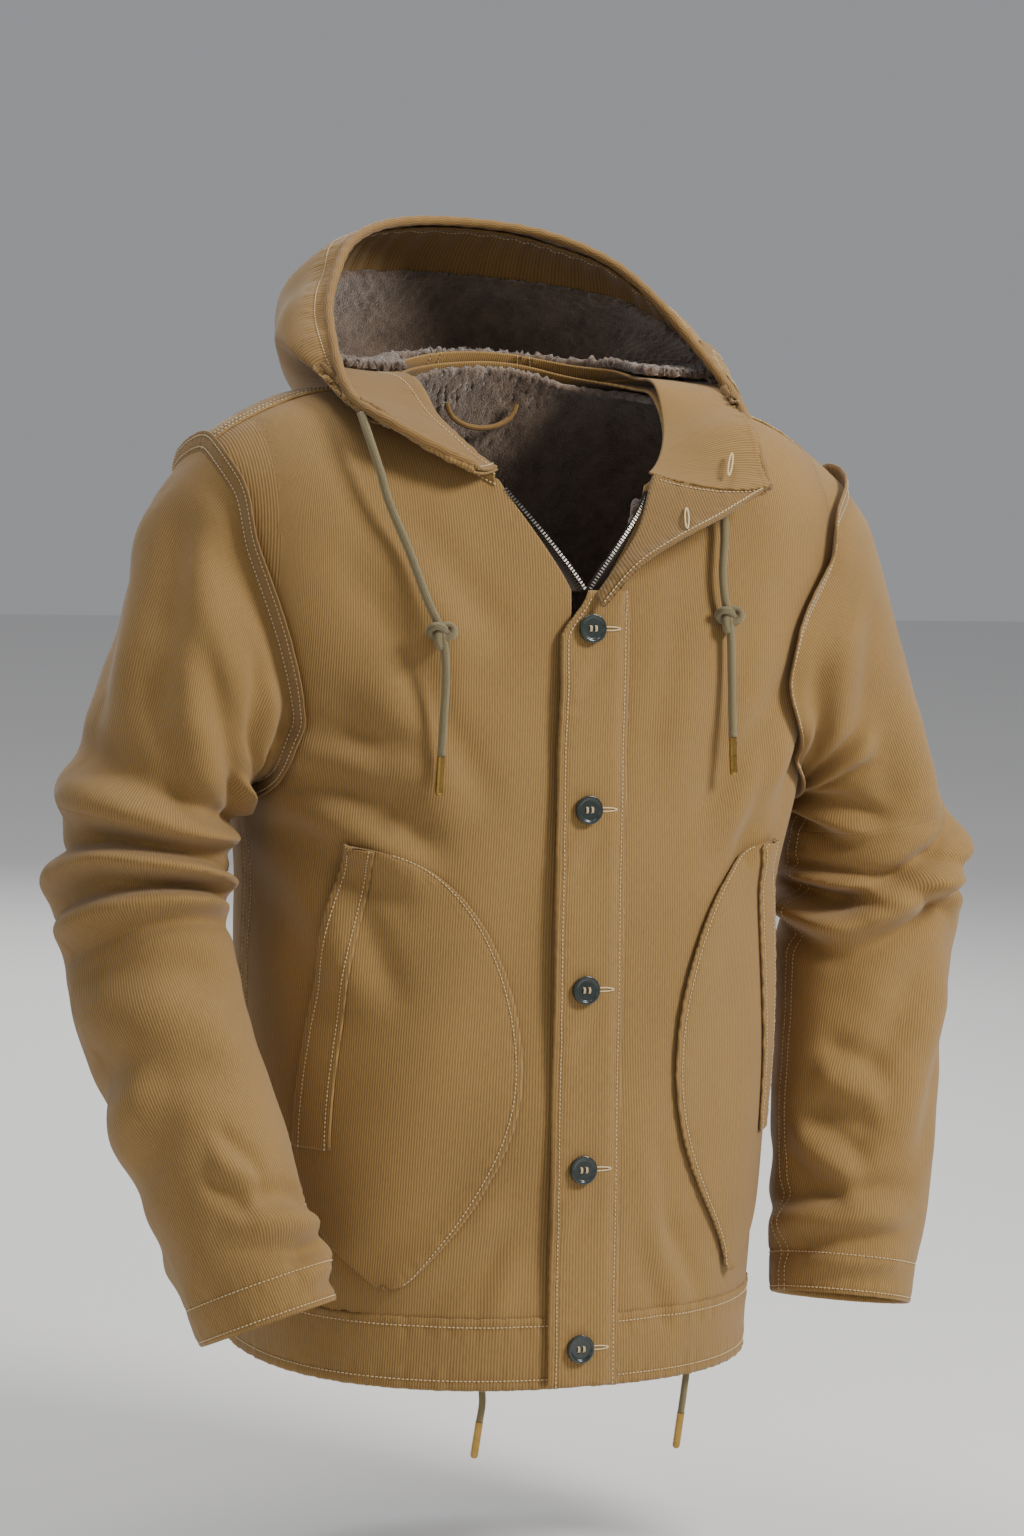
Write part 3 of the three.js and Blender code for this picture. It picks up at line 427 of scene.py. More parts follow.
# Folds of the front and of the back as (x, z) to (x, z), height and width.
BODY_FOLDS = [
    ((-190, -285), (-120, -330), 5, 15), ((-200, -250), (-130, -262), 4, 14), ((-150, -200), (-95, -290), 3, 18),
    ((190, -215), (120, -300), 4, 17), ((-185, -330), (-150, -420), 3.5, 14), ((100, -150), (70, -260), 2, 20),
    ((-60, -560), (-130, -622), 2.5, 16), ((-40, -600), (-60, -640), 1.8, 12), ((60, -585), (90, -640), 2, 12),
    ((-150, -100), (-90, -180), 2.2, 20), ((40, -520), (60, -600), 1.5, 14), ((150, -330), (172, -250), 3, 13),
]
BACK_FOLDS = [
    ((-170, -190), (-90, -230), 5, 20), ((170, -190), (90, -230), 5, 20), ((-150, -300), (-60, -340), 4, 22),
    ((150, -310), (50, -350), 4, 22), ((-120, -420), (40, -440), 4, 26), ((-160, -560), (-20, -600), 4, 24),
    ((160, -570), (40, -600), 4, 24), ((0, -120), (-10, -260), 3, 30), ((-100, -80), (-60, -160), 3, 24),
]


def body_folds(p, u=None, v=None):
    """Drape of the shell over the wearer, in millimetres along the normal."""
    x, y, z = p[..., 0], p[..., 1], p[..., 2]
    wave = 1.6 * np.sin(x * 0.031 + z * 0.012 + 1) * np.sin(z * 0.021 - x * 0.009) + 0.7 * np.sin(x * 0.07 - z * 0.02)
    calm = 1 - 0.8 * smooth(z, HEM_Z + 90, HEM_Z)
    front = sum(ridge(x, z, *f) for f in BODY_FOLDS)
    rear = sum(ridge(x, z, *f) for f in BACK_FOLDS)
    is_front = smooth(-y, -10, 25)
    near_flap = smooth(np.abs(x - 4), 34, 70)
    return (wave * 1.2 * calm + front * 1.5 * near_flap) * is_front + (wave * 1.6 * calm + rear) * (1 - is_front) - 0.5


# ---------- armholes ----------
# Each armhole as (angle from the front, height), from the shoulder round the front, the armpit and the back.
ARMHOLE = {
    "right": [(90, -47), (79, -72), (75.6, -118), (72, -180), (71.5, -235), (77, -268), (92, -282), (106, -262),
              (112, -200), (108, -125), (100, -72)],
    "left": [(90, -61), (75, -84), (70.5, -122), (64, -172), (64, -225), (74, -268), (92, -284), (106, -262),
             (112, -200), (108, -130), (100, -84)],
}
MIRROR = {"right": -1, "left": 1}


def armhole_curve(arm):
    """The armhole in (angle, t) at evenly spaced stations, as a function of u from 0 to 1."""
    points = np.array([(MIRROR[arm] * a, float(t_of(MIRROR[arm] * a, z))) for a, z in ARMHOLE[arm]])
    looped = np.concatenate([points[-2:], points, points[:3]])
    return lambda u: catmull(looped, 2 + np.asarray(u, float) % 1 * len(points))


ARMHOLES = {arm: armhole_curve(arm) for arm in MIRROR}


def inside_polygon(x, y, poly):
    inside = np.zeros(x.shape, bool)
    for (x0, y0), (x1, y1) in zip(poly, np.roll(poly, -1, axis=0)):
        crosses = (y0 > y) != (y1 > y)
        at = x0 + (y - y0) * (x1 - x0) / (y1 - y0 if y1 != y0 else 1e-9)
        inside ^= crosses & (x < at)
    return inside


def on_shell(loop, inset=0):
    """Points of the folded shell at places given as (angle, t)."""
    p, n = surface(lambda a, t: body(a * 100, t), loop[:, 0] / 100, loop[:, 1])
    return p + n * (body_folds(p) - inset)[:, None]


def cut_armholes(arms, shrink=0):
    """A keep function that opens the armholes: what lies inside them goes, and the edge is moved onto them."""

    def keep(flat, base, quads):
        for arm in arms:
            loop = ARMHOLES[arm](np.linspace(0, 1, 240, endpoint=False))
            edge = on_shell(loop, shrink)
            angle = np.degrees(np.arctan2(base[:, 0], -base[:, 1])) * MIRROR[arm] % 360
            z = body(loop[:, 0], loop[:, 1])[:, 2]
            hole = inside_polygon(angle, base[:, 2], np.stack([loop[:, 0] * MIRROR[arm], z], axis=1))
            quads = quads[~hole[quads].all(axis=1)]
            for i in np.unique(quads[hole[quads]]):
                flat[i] = edge[np.argmin(((edge - flat[i]) ** 2).sum(axis=1))]
        return flat, quads

    return keep


# ---------- materials ----------
MATERIALS = {}


def srgb(hex_colour):
    channels = [int(hex_colour[i : i + 2], 16) / 255 for i in (0, 2, 4)]
    return [c / 12.92 if c <= 0.04045 else ((c + 0.055) / 1.055) ** 2.4 for c in channels] + [1]


def link(tree, source, target):
    tree.links.new(source, target)


def math_node(tree, operation, a, b=None, clamp=False):
    n = tree.nodes.new("ShaderNodeMath")
    n.operation = operation
    n.use_clamp = clamp
    for i, value in enumerate((a, b)):
        if isinstance(value, (int, float)):
            n.inputs[i].default_value = value
        elif value is not None:
            link(tree, value, n.inputs[i])
    return n.outputs[0]


def times(tree, a, b, clamp=False):
    return math_node(tree, "MULTIPLY", a, b, clamp)


def total(tree, *terms, clamp=False):
    """The sum of terms, each a socket, a number, or a pair to be multiplied first."""
    terms = [times(tree, *t) if isinstance(t, tuple) else t for t in terms]
    for k in range(1, len(terms)):
        terms[k] = math_node(tree, "ADD", terms[k - 1], terms[k], clamp and k == len(terms) - 1)
    return terms[-1]


def ranged(tree, value, at_zero, at_top, top=1):
    """Runs from at_zero to at_top as value goes from 0 to top."""
    n = tree.nodes.new("ShaderNodeMapRange")
    for label, number in (("From Max", top), ("To Min", at_zero), ("To Max", at_top)):
        n.inputs[label].default_value = number
    link(tree, value, n.inputs["Value"])
    return n.outputs[0]


def cloth_uv(tree):
    n = tree.nodes.new("ShaderNodeUVMap")
    n.uv_map = "cloth"
    return n.outputs["UV"]


def place_in(tree):
    return tree.nodes.new("ShaderNodeTexCoord").outputs["Object"]


def split_uv(tree, uv):
    n = tree.nodes.new("ShaderNodeSeparateXYZ")
    link(tree, uv, n.inputs[0])
    return n.outputs[0], n.outputs[1]


def mix_node(tree, a, b, factor, blend="MIX"):
    n = tree.nodes.new("ShaderNodeMix")
    n.data_type = "RGBA"
    n.blend_type = blend
    for socket, value in ((n.inputs["Factor"], factor), (n.inputs[6], a), (n.inputs[7], b)):
        if isinstance(value, (int, float, list, tuple)):
            socket.default_value = value
        else:
            link(tree, value, socket)
    return n.outputs[2]


def noise_node(tree, vector, scale, detail=3, roughness=0.55):
    n = tree.nodes.new("ShaderNodeTexNoise")
    n.inputs["Scale"].default_value = scale
    n.inputs["Detail"].default_value = detail
    n.inputs["Roughness"].default_value = roughness
    link(tree, vector, n.inputs["Vector"])
    return n.outputs["Fac"]


def new_group(name, inputs, outputs):
    group = bpy.data.node_groups.new(name, "ShaderNodeTree")
    for label, kind, value in inputs:
        socket = group.interface.new_socket(name=label, in_out="INPUT", socket_type=kind)
        if value is not None:
            socket.default_value = value
    for label, kind in outputs:
        group.interface.new_socket(name=label, in_out="OUTPUT", socket_type=kind)
    return group, group.nodes.new("NodeGroupInput"), group.nodes.new("NodeGroupOutput")


COLOUR, VALUE = "NodeSocketColor", "NodeSocketFloat"
# Millimetres between cords, and how far from a seam the painted seam shade reaches.
CORD_PITCH, SEAM_SHADE_WIDTH = 1.9, 3.2
SLUB_SCALE = (900, 160, 1)
BRAID_ROUND, BRAID_ALONG = 2300, 1700


def corded_group():
    """Cloth with fine raised cords across its UV, small slubs, faded patches and puckered seams, with painted shade
    darkening the cloth in patches beside the seams.
    """
    group, given, result = new_group(
        "corded_cloth",
        [("Light", COLOUR, srgb("C39A62")), ("Dark", COLOUR, srgb("96703F")), ("Cord pitch", VALUE, CORD_PITCH * MM),
         ("Cord depth", VALUE, 0.5), ("Seam shade", VALUE, 0.5)],
        [("Color", COLOUR), ("Roughness", VALUE), ("Height", VALUE)],
    )
    uv, where = cloth_uv(group), place_in(group)
    wobble = noise_node(group, uv, 18, 2)
    across = total(group, split_uv(group, uv)[0], (wobble, 0.0009))
    turns = math_node(group, "DIVIDE", across, given.outputs["Cord pitch"])
    cords = total(group, (math_node(group, "SINE", times(group, turns, 2 * math.pi)), 0.5), 0.5)
    stretch = group.nodes.new("ShaderNodeMapping")
    stretch.inputs["Scale"].default_value = SLUB_SCALE
    link(group, uv, stretch.inputs["Vector"])
    slub = noise_node(group, stretch.outputs[0], 1, 3, 0.7)
    patches = noise_node(group, where, 7, 4, 0.6)
    fine = noise_node(group, where, 900, 2, 0.6)
    tone = total(group, (slub, 0.55), (cords, given.outputs["Cord depth"]), (patches, 0.5), -0.42, clamp=True)
    colour = mix_node(group, given.outputs["Dark"], given.outputs["Light"], tone)
    # Painted seam shade: within a few millimetres of each seam the colour is darkened in patches towards 6E4D28,
    # standing in for shade in the seam grooves.
    seam = group.nodes.new("ShaderNodeAttribute")
    seam.attribute_name = "seam"
    near = ranged(group, seam.outputs["Fac"], 1, 0, SEAM_SHADE_WIDTH)
    patchy_seam_shade = times(group, near, noise_node(group, where, 160, 3, 0.7))
    painted_seam_shade = times(group, patchy_seam_shade, given.outputs["Seam shade"], clamp=True)
    link(group, mix_node(group, colour, srgb("6E4D28"), painted_seam_shade), result.inputs["Color"])
    link(group, total(group, (fine, 0.12), 0.74, (cords, 0.06)), result.inputs["Roughness"])
    link(group, total(group, (cords, 0.8), (slub, 0.5), (fine, 0.25)), result.inputs["Height"])
    return group


def new_material(name, **sockets):
    """A material with its constants set on the shader's own sockets."""
    material = bpy.data.materials.new(name)
    material.use_nodes = True
    shader = material.node_tree.nodes["Principled BSDF"]
    for label, value in sockets.items():
        shader.inputs[label.replace("_", " ")].default_value = value
    MATERIALS[name] = material
    return material, material.node_tree, shader


def bump(tree, shader, height, strength, distance):
    n = tree.nodes.new("ShaderNodeBump")
    n.inputs["Strength"].default_value = strength
    n.inputs["Distance"].default_value = distance
    link(tree, height, n.inputs["Height"])
    link(tree, n.outputs["Normal"], shader.inputs["Normal"])


def place_group(tree, group, shader, values, strength, distance):
    n = tree.nodes.new("ShaderNodeGroup")
    n.node_tree = group
    for label, value in values.items():
        n.inputs[label].default_value = value
    link(tree, n.outputs["Color"], shader.inputs["Base Color"])
    link(tree, n.outputs["Roughness"], shader.inputs["Roughness"])
    bump(tree, shader, n.outputs["Height"], strength, distance)


def make_cloth_materials():
    group = corded_group()
    # The last number of each row sets how strongly painted shade darkens the cloth beside its seams.
    for name, light, dark, seam_shade in (("cloth", "B08A4E", "765A31", 0.5), ("cloth_inside", "A17D46", "6B512C", 0.4)):
        _, tree, shader = new_material(name, Sheen_Weight=0.18, Sheen_Roughness=0.5, Specular_IOR_Level=0.3)
        place_group(tree, group, shader, {"Light": srgb(light), "Dark": srgb(dark), "Seam shade": seam_shade}, 0.45, 0.0005)


def make_pile_material():
    _, tree, shader = new_material("pile", Sheen_Weight=0.6, Sheen_Roughness=0.4, Specular_IOR_Level=0.1)
    where = place_in(tree)
    clumps = noise_node(tree, where, 60, 4, 0.65)
    hair = noise_node(tree, where, 700, 3, 0.7)
    tone = total(tree, (clumps, 1.1), (hair, 0.7), -0.45, clamp=True)
    link(tree, mix_node(tree, srgb("4A392D"), srgb("9C8672"), tone), shader.inputs["Base Color"])
    link(tree, total(tree, (hair, 0.1), 0.88), shader.inputs["Roughness"])
    bump(tree, shader, total(tree, (clumps, 0.7), (hair, 0.6)), 0.9, 0.004)


def make_cord_material():
    _, tree, shader = new_material("cord", Sheen_Weight=0.25, Specular_IOR_Level=0.25)
    uv = cloth_uv(tree)
    u, v = split_uv(tree, uv)
    strands = [math_node(tree, "ABSOLUTE", math_node(tree, "SINE", total(tree, (u, turn), (v, BRAID_ALONG))))
               for turn in (BRAID_ROUND, -BRAID_ROUND)]
    braid = math_node(tree, "MAXIMUM", *strands)
    fleck = noise_node(tree, uv, 1300, 2, 0.7)
    tone = total(tree, (braid, 0.7), (fleck, 0.6), -0.3, clamp=True)
    link(tree, mix_node(tree, srgb("493F28"), srgb("9C8D64"), tone), shader.inputs["Base Color"])
    link(tree, total(tree, (fleck, 0.15), 0.75), shader.inputs["Roughness"])
    bump(tree, shader, braid, 0.8, 0.0006)


def make_small_materials():
    # name, light colour, dark colour, noise scale, lowest and highest roughness, metallic, bump depth in metres
    looks = [
        ("thread", "E4CFA4", "BFA678", 900, 0.6, 0.8, 0, 0.0001),
        ("zip_tape", "3E3124", "20180F", 1400, 0.75, 0.95, 0, 0.0002),
        ("zip_metal", "A9A59C", "5F5B54", 300, 0.22, 0.45, 1, 0.00003),
        ("brass", "C4A35E", "8C6A30", 240, 0.18, 0.42, 1, 0.00003),
        ("button", "38413D", "121817", 55, 0.14, 0.3, 0, 0.00002),
    ]
    for name, light, dark, scale, low, high, metallic, depth in looks:
        _, tree, shader = new_material(name, Metallic=metallic)
        if name == "button":
            shader.inputs["Coat Weight"].default_value = 0.4
        spots = noise_node(tree, place_in(tree), scale, 4, 0.65)
        link(tree, mix_node(tree, srgb(dark), srgb(light), spots), shader.inputs["Base Color"])
        link(tree, ranged(tree, spots, low, high), shader.inputs["Roughness"])
        bump(tree, shader, spots, 0.5, depth)


make_cloth_materials()
make_pile_material()
make_cord_material()
make_small_materials()


def finish_in(obj, material):
    obj.data.materials.clear()
    obj.data.materials.append(MATERIALS[material])


def dress(obj, material, owner, *replaced):
    """Gives a piece its material and its body, or with two bodies and bend points bakes its transform in place, and
    hides the nodes it stands for.
    """
    finish_in(obj, material)
    if isinstance(owner, tuple):
        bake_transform(obj)
    else:
        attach(obj, owner)
    if replaced:
        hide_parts(*replaced)
    return obj


# ---------- cords ----------
# Each route runs from the cord's exit to its metal tip, as in the frame.
HOOD_CORD_D, HEM_CORD_D = 6, 5
CORD_ROUTES = {
    "hood_cord_right": [(-157, -66, -18), (-156, -79, -33), (-151, -89, -55), (-145, -94, -77), (-132, -102, -109),
                        (-121, -111, -141), (-112, -118, -164), (-109, -121, -190), (-110, -123, -220),
                        (-111, -124, -247)],
    "hood_cord_left": [(111, -91, -70), (112, -94, -85), (110, -100, -100), (107, -106, -120), (107, -111, -138),
                       (110, -114, -152), (111, -117, -172), (112, -119, -196), (113, -120, -216),
                       (114, -121, -235)],
    "hem_cord_right": [(-62, -133, -675), (-62, -134, -688), (-61, -134, -701), (-62, -133, -714)],
    "hem_cord_left": [(104, -119, -675), (105, -120, -690), (104, -120, -706), (103, -119, -722)],
}
KNOT_AT = {"hood_cord_right": 6, "hood_cord_left": 5}
KNOT_SIZE, KNOT_LOBE = 3.2, 1.9


def make_knot(name, centre, cord_r):
    """An overhand knot: a closed three-lobed tube drawn tight round the cord."""
    turn = np.linspace(0, 2 * np.pi, 72, endpoint=False)
    lobes = [np.sin(turn) + KNOT_LOBE * np.sin(2 * turn), -0.8 * np.sin(3 * turn),
             0.95 * (np.cos(turn) - KNOT_LOBE * np.cos(2 * turn))]
    return tube(name, KNOT_SIZE * np.stack(lobes, axis=1) + np.array(centre), cord_r * 0.92, 10, closed=True)


def make_cords():
    for name, route in CORD_ROUTES.items():
        diameter = HOOD_CORD_D if name.startswith("hood") else HEM_CORD_D
        route = np.array(route, float)
        fine = catmull(route, np.linspace(0, len(route) - 1, 60))
        cord = dress(tube(name + "_braid", fine, diameter / 2, 14), "cord", name + "_body", name)
        if name in KNOT_AT:
            knot = make_knot(name + "_knot", route[KNOT_AT[name]], diameter / 2)
            dress(knot, "cord", name + "_body")
        finish_in(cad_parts[name + "_tip"], "brass")


make_cords()


# ---------- body panels ----------
HEM_SEAM_T = 1 + (CHEST_Z - HEM_Z - HEM_BAND_HEIGHT) / (CHEST_Z - HEM_Z)
FLAP_LEFT, FLAP_RIGHT = 28, 22
SHELL_THICK, HEM_THICK, HEM_LIFT, LINING_DEPTH, PILE_THICK = 2.0, 3.2, 1.4, 6.0, 5.5
LINING_EDGE, SHORTEST_SHEET = 22, 20


def declare_sheet(obj):
    """Returns the piece as it is."""
    return obj


def front_surface(side, t0, t1, inset=ZIP_GAP):
    """One front from t0 to t1, with u from its front edge to the side seam."""

    def f(u, v):
        t = lerp(t0, t1, v)
        return body(lerp(edge_angle(t, side, inset), side * SIDE_ANGLE, u), t)

    return f


def back_surface(t0, t1):
    return lambda u, v: body(lerp(SIDE_ANGLE, 360 - SIDE_ANGLE, u), lerp(t0, t1, v))


def straight(u0, u1, v0, v1):
    """A straight stitched line in u and v."""
    return [u0, u1], [v0, v1]


def make_panels():
    def hem(name, f, columns, node):
        band = cloth(name, f, columns, 16, HEM_THICK, body_folds, along_u(0.1, 0.88), lift=HEM_LIFT, uv=grain,
                     pucker=0.8)
        declare_sheet(dress(band, "cloth", "jacket_body", node))

    for arm, side in MIRROR.items():
        side_seam = [straight(0.987, 0.987, 0.62, 1), straight(0.955, 0.955, 0.62, 1)]
        panel = cloth(f"front_{arm}", front_surface(side, 0, HEM_SEAM_T), 112, 188, SHELL_THICK, body_folds,
                      side_seam, uv=grain, keep=cut_armholes([arm]))
        declare_sheet(dress(panel, "cloth", "jacket_body", f"front_panel_{arm}"))
        hem(f"hem_{arm}", front_surface(side, HEM_SEAM_T, 2), 112, f"hem_band_{arm}")
    seams = [straight(0.5, 0.5, 0.05, 1), straight(0.492, 0.492, 0.05, 1)]
    panel = cloth("back", back_surface(0, HEM_SEAM_T), 200, 188, SHELL_THICK, body_folds, seams, uv=grain,
                  keep=cut_armholes(MIRROR))
    declare_sheet(dress(panel, "cloth", "jacket_body", "back_panel"))
    hem("hem_back", back_surface(HEM_SEAM_T, 2), 200, "hem_band_back")


def tufts(p):
    """The uneven face of the pile."""
    x, y, z = p[..., 0], p[..., 1], p[..., 2]
    value = np.sin(x * 0.9 + 2 * np.sin(z * 0.31)) * np.sin(z * 0.83 + 2 * np.sin(x * 0.27) + y * 0.4)
    return 0.9 * value + 0.6 * np.sin(x * 2.1 + y * 1.7) * np.sin(z * 1.9 - y)


def pile_folds(p, u=None, v=None):
    return tufts(p) + body_folds(p)


def make_linings():
    def lining(part, f, columns, arms):
        pile = cloth(f"pile_{part}", f, columns, 150, PILE_THICK, pile_folds, lift=-LINING_DEPTH,
                     keep=cut_armholes(arms, shrink=LINING_DEPTH))
        declare_sheet(dress(pile, "pile", "jacket_body", f"lining_{part}"))

    for arm, side in MIRROR.items():
        lining(f"front_{arm}", front_surface(side, 0.06, HEM_SEAM_T, LINING_EDGE), 90, [arm])
    lining("back", back_surface(0.012, HEM_SEAM_T), 170, MIRROR)


# ---------- sleeves ----------
# Rings of the sleeve head as outer (x, z), inner (x, z), y, depth; rings of the arm as centre, half width, depth.
HEAD_RINGS = [
    ((250, -48), (202, -276), -3, 88), ((276, -88), (207, -280), -3, 84), ((296, -150), (212, -286), -5, 79),
    ((316, -215), (218, -293), -8, 74), ((337, -285), (224, -312), -12, 70),
]
ARM_RINGS = {
    "right": [((285, -20, -340), 59, 66), ((288, -32, -378), 58, 64), ((284, -55, -425), 58, 60),
              ((274, -85, -480), 56, 57), ((258, -112, -535), 54, 54), ((244, -135, -585), 51, 52),
              ((232, -152, -628), 49, 50)],
    "left": [((288, -14, -332), 67, 68), ((290, -16, -372), 68, 66), ((285, -22, -420), 66, 63),
             ((276, -36, -485), 63, 60), ((269, -50, -548), 61, 58), ((260, -64, -605), 56, 55),
             ((252, -76, -655), 52, 52)],
}
ARMHOLE_IN = {"right": 2, "left": 44}  # how far the front of each sleeve head is drawn in
LAST_RING = 11
ELBOW_SPLIT = 4.2
CUFF_SEAM, CUFF_CALM = LAST_RING - 26 / 45, 10.3
SLEEVE_THICK = 3.0
# Where a sleeve starts and ends to bend, at the shoulder and at the elbow, in metres on the left arm.
SHOULDER_BEND = ((0.2540, 0, -0.0262), (0.2810, 0, -0.0319))
ELBOW_BEND = ((0.28, 0, -0.322), (0.28, 0, -0.400))
INSEAM = 0.5  # u of the seam under the arm, where each grid of a sleeve starts
AROUND, ALONG = 400, 48  # millimetres for one turn of a sleeve, and from ring to ring

# Folds as (u, ring) to (u, ring), height and width. u goes round from the outer line over the front.
SLEEVE_FOLDS = {
    "right": [
        ((-0.06, 4.0), (0.42, 4.1), 6, 14), ((-0.1, 5.2), (0.12, 4.95), 5.5, 12), ((0.12, 4.95), (0.43, 5.3), 6, 12),
        ((-0.02, 5.95), (0.40, 5.8), 5, 11), ((0.30, 0.7), (0.37, 1.7), 3.5, 11), ((0.37, 2.6), (0.45, 3.4), 5, 13),
        ((-0.02, 1.2), (0.08, 3.0), 3.5, 20), ((0.14, 2.2), (0.3, 3.4), 3, 18), ((0.20, 9.7), (0.42, 10.0), 4.5, 11),
        ((0.19, 8.9), (0.25, 9.4), 3, 10), ((0.3, 10.6), (0.47, 10.3), 3.5, 10), ((0.0, 7.0), (0.3, 7.6), 3, 18),
        ((-0.08, 8.4), (0.12, 8.0), 3, 16), ((0.55, 4.6), (0.85, 4.4), 5, 14), ((0.55, 5.6), (0.9, 5.5), 5, 14),
        ((0.6, 7.5), (0.85, 8.4), 4, 16), ((0.62, 1.4), (0.85, 2.8), 4, 20), ((0.6, 9.6), (0.9, 9.9), 3.5, 13),
    ],
    "left": [
        ((0.40, 2.4), (0.26, 2.7), 3.5, 10), ((0.48, 3.2), (0.34, 4.2), 5, 14), ((0.56, 6.0), (0.37, 6.5), 7, 13),
        ((0.37, 6.45), (0.08, 4.9), 7, 15), ((0.48, 5.3), (0.30, 5.7), 5, 10), ((0.1, 5.9), (0.24, 5.4), 4, 11),
        ((0.39, 8.3), (0.28, 8.5), 4, 11), ((0.44, 9.0), (0.32, 9.5), 4, 11), ((0.52, 10.1), (0.22, 9.9), 4, 11),
        ((0.14, 7.2), (0.24, 8.8), 3, 20), ((0.2, 1.0), (0.3, 2.0), 3, 18), ((0.12, 2.6), (0.2, 4.0), 3, 22),
        ((0.2, 10.4), (0.4, 10.55), 3, 9), ((0.62, 4.8), (0.9, 4.6), 5, 14), ((0.62, 5.7), (0.95, 5.9), 5, 14),
        ((0.65, 7.5), (0.85, 8.6), 4, 16), ((0.65, 1.4), (0.88, 2.8), 4, 20), ((0.6, 9.6), (0.95, 9.8), 3.5, 13),
    ],
}


def sleeve_table(arm):
    """Each ring's centre, half width, half depth and drawing in, twelve numbers to a row."""
    centre, across, half, depth = [], [], [], []
    drop = LEFT_SHOULDER_DROP if arm == "left" else 0
    for k, (outer, inner, y, d) in enumerate(HEAD_RINGS):
        o = np.array([outer[0], y, outer[1] - drop * (1 - k / len(HEAD_RINGS))], float)
        i = np.array([inner[0], y, inner[1]], float)
        centre.append((o + i) / 2)
        across.append(unit(o - i))
        half.append(np.linalg.norm(o - i) / 2)
        depth.append(d)
    centre += [np.array(c, float) for c, _, _ in ARM_RINGS[arm]]
    along = [unit(np.cross([0, 1, 0], a)) for a in across]
    for at, (_, h, d) in enumerate(ARM_RINGS[arm], len(HEAD_RINGS)):
        direction = unit(centre[min(at + 1, LAST_RING)] - centre[at - 1])
        along.append(direction)
        across.append(unit(np.array([1, 0, 0]) - direction * direction[0]))
        half.append(h)
        depth.append(d)
    forward = [unit(np.cross(a, b)) for a, b in zip(across, along)]
    forward = [-w if w[1] > 0 else w for w in forward]
    fade = np.clip(1 - np.arange(LAST_RING + 1) / 4, 0, 1)
    return np.concatenate(
        [centre, np.array(across) * np.array(half)[:, None], np.array(forward) * np.array(depth)[:, None],
         fade[:, None] * [[ARMHOLE_IN[arm], 0, 0]]], axis=1
    )


def armhole_round(arm):
    """The armhole on the body, as a function of u that keeps step with the sleeve's u."""
    dense = ARMHOLES[arm](np.linspace(0, 1, 600, endpoint=False))
    p = on_shell(dense)
    low = int(np.argmin(p[:, 2]))
    closed = np.concatenate([p, p[:1]])
    length = np.concatenate([[0], np.cumsum(np.linalg.norm(np.diff(closed, axis=0), axis=1))])
    turn = np.where(length <= length[low], 0.5 * length / length[low],
                    0.5 + 0.5 * (length - length[low]) / (length[-1] - length[low]))
    return lambda u: np.stack([np.interp(np.asarray(u) % 1, turn, closed[:, i]) for i in range(3)], axis=-1)


def sleeve_surface(arm):
    """A sleeve's outside: u goes round it and v is the ring's number, from the armhole to the cuff."""
    table, hole = sleeve_table(arm), armhole_round(arm)

    def rings(u, v):
        row = catmull(table, v)
        a = u * 2 * np.pi
        cos, sin = np.cos(a)[..., None], np.sin(a)[..., None]
        p = row[..., :3] + cos * row[..., 3:6] + sin * row[..., 6:9] - np.maximum(sin, 0) ** 2 * row[..., 9:12]
        return p * [MIRROR[arm], 1, 1]

    def f(u, v):
        p = rings(u, v)
        from_hole = hole(u) + p - rings(u, v * 0)
        return lerp(from_hole, p, smooth(v, 0, 1.8)[..., None])

    return f


def sleeve_folds(arm):
    def folds(p, u, v):
        high = 0
        for (u0, v0), (u1, v1), height, width in SLEEVE_FOLDS[arm]:
            for turn in (-1, 0, 1):
                high = high + ridge((u + turn) * AROUND, v * ALONG, (u0 * AROUND, v0 * ALONG),
                                    (u1 * AROUND, v1 * ALONG), height, width)
        soft = 1.1 * np.sin(v * 2.3 + 3 * np.sin(u * 2 * np.pi)) * np.sin(u * 4 * np.pi + v)
        creases = 0.5 * np.sin(u * 44 + v * 3.1 + 2 * np.sin(v * 1.7)) * np.sin(v * 5.3 - u * 9)
        calm = smooth(v, 0.05, 0.7) * (1 - 0.75 * smooth(v, CUFF_CALM, LAST_RING))
        return (high * 1.9 + soft * 1.5 + creases) * calm

    return folds


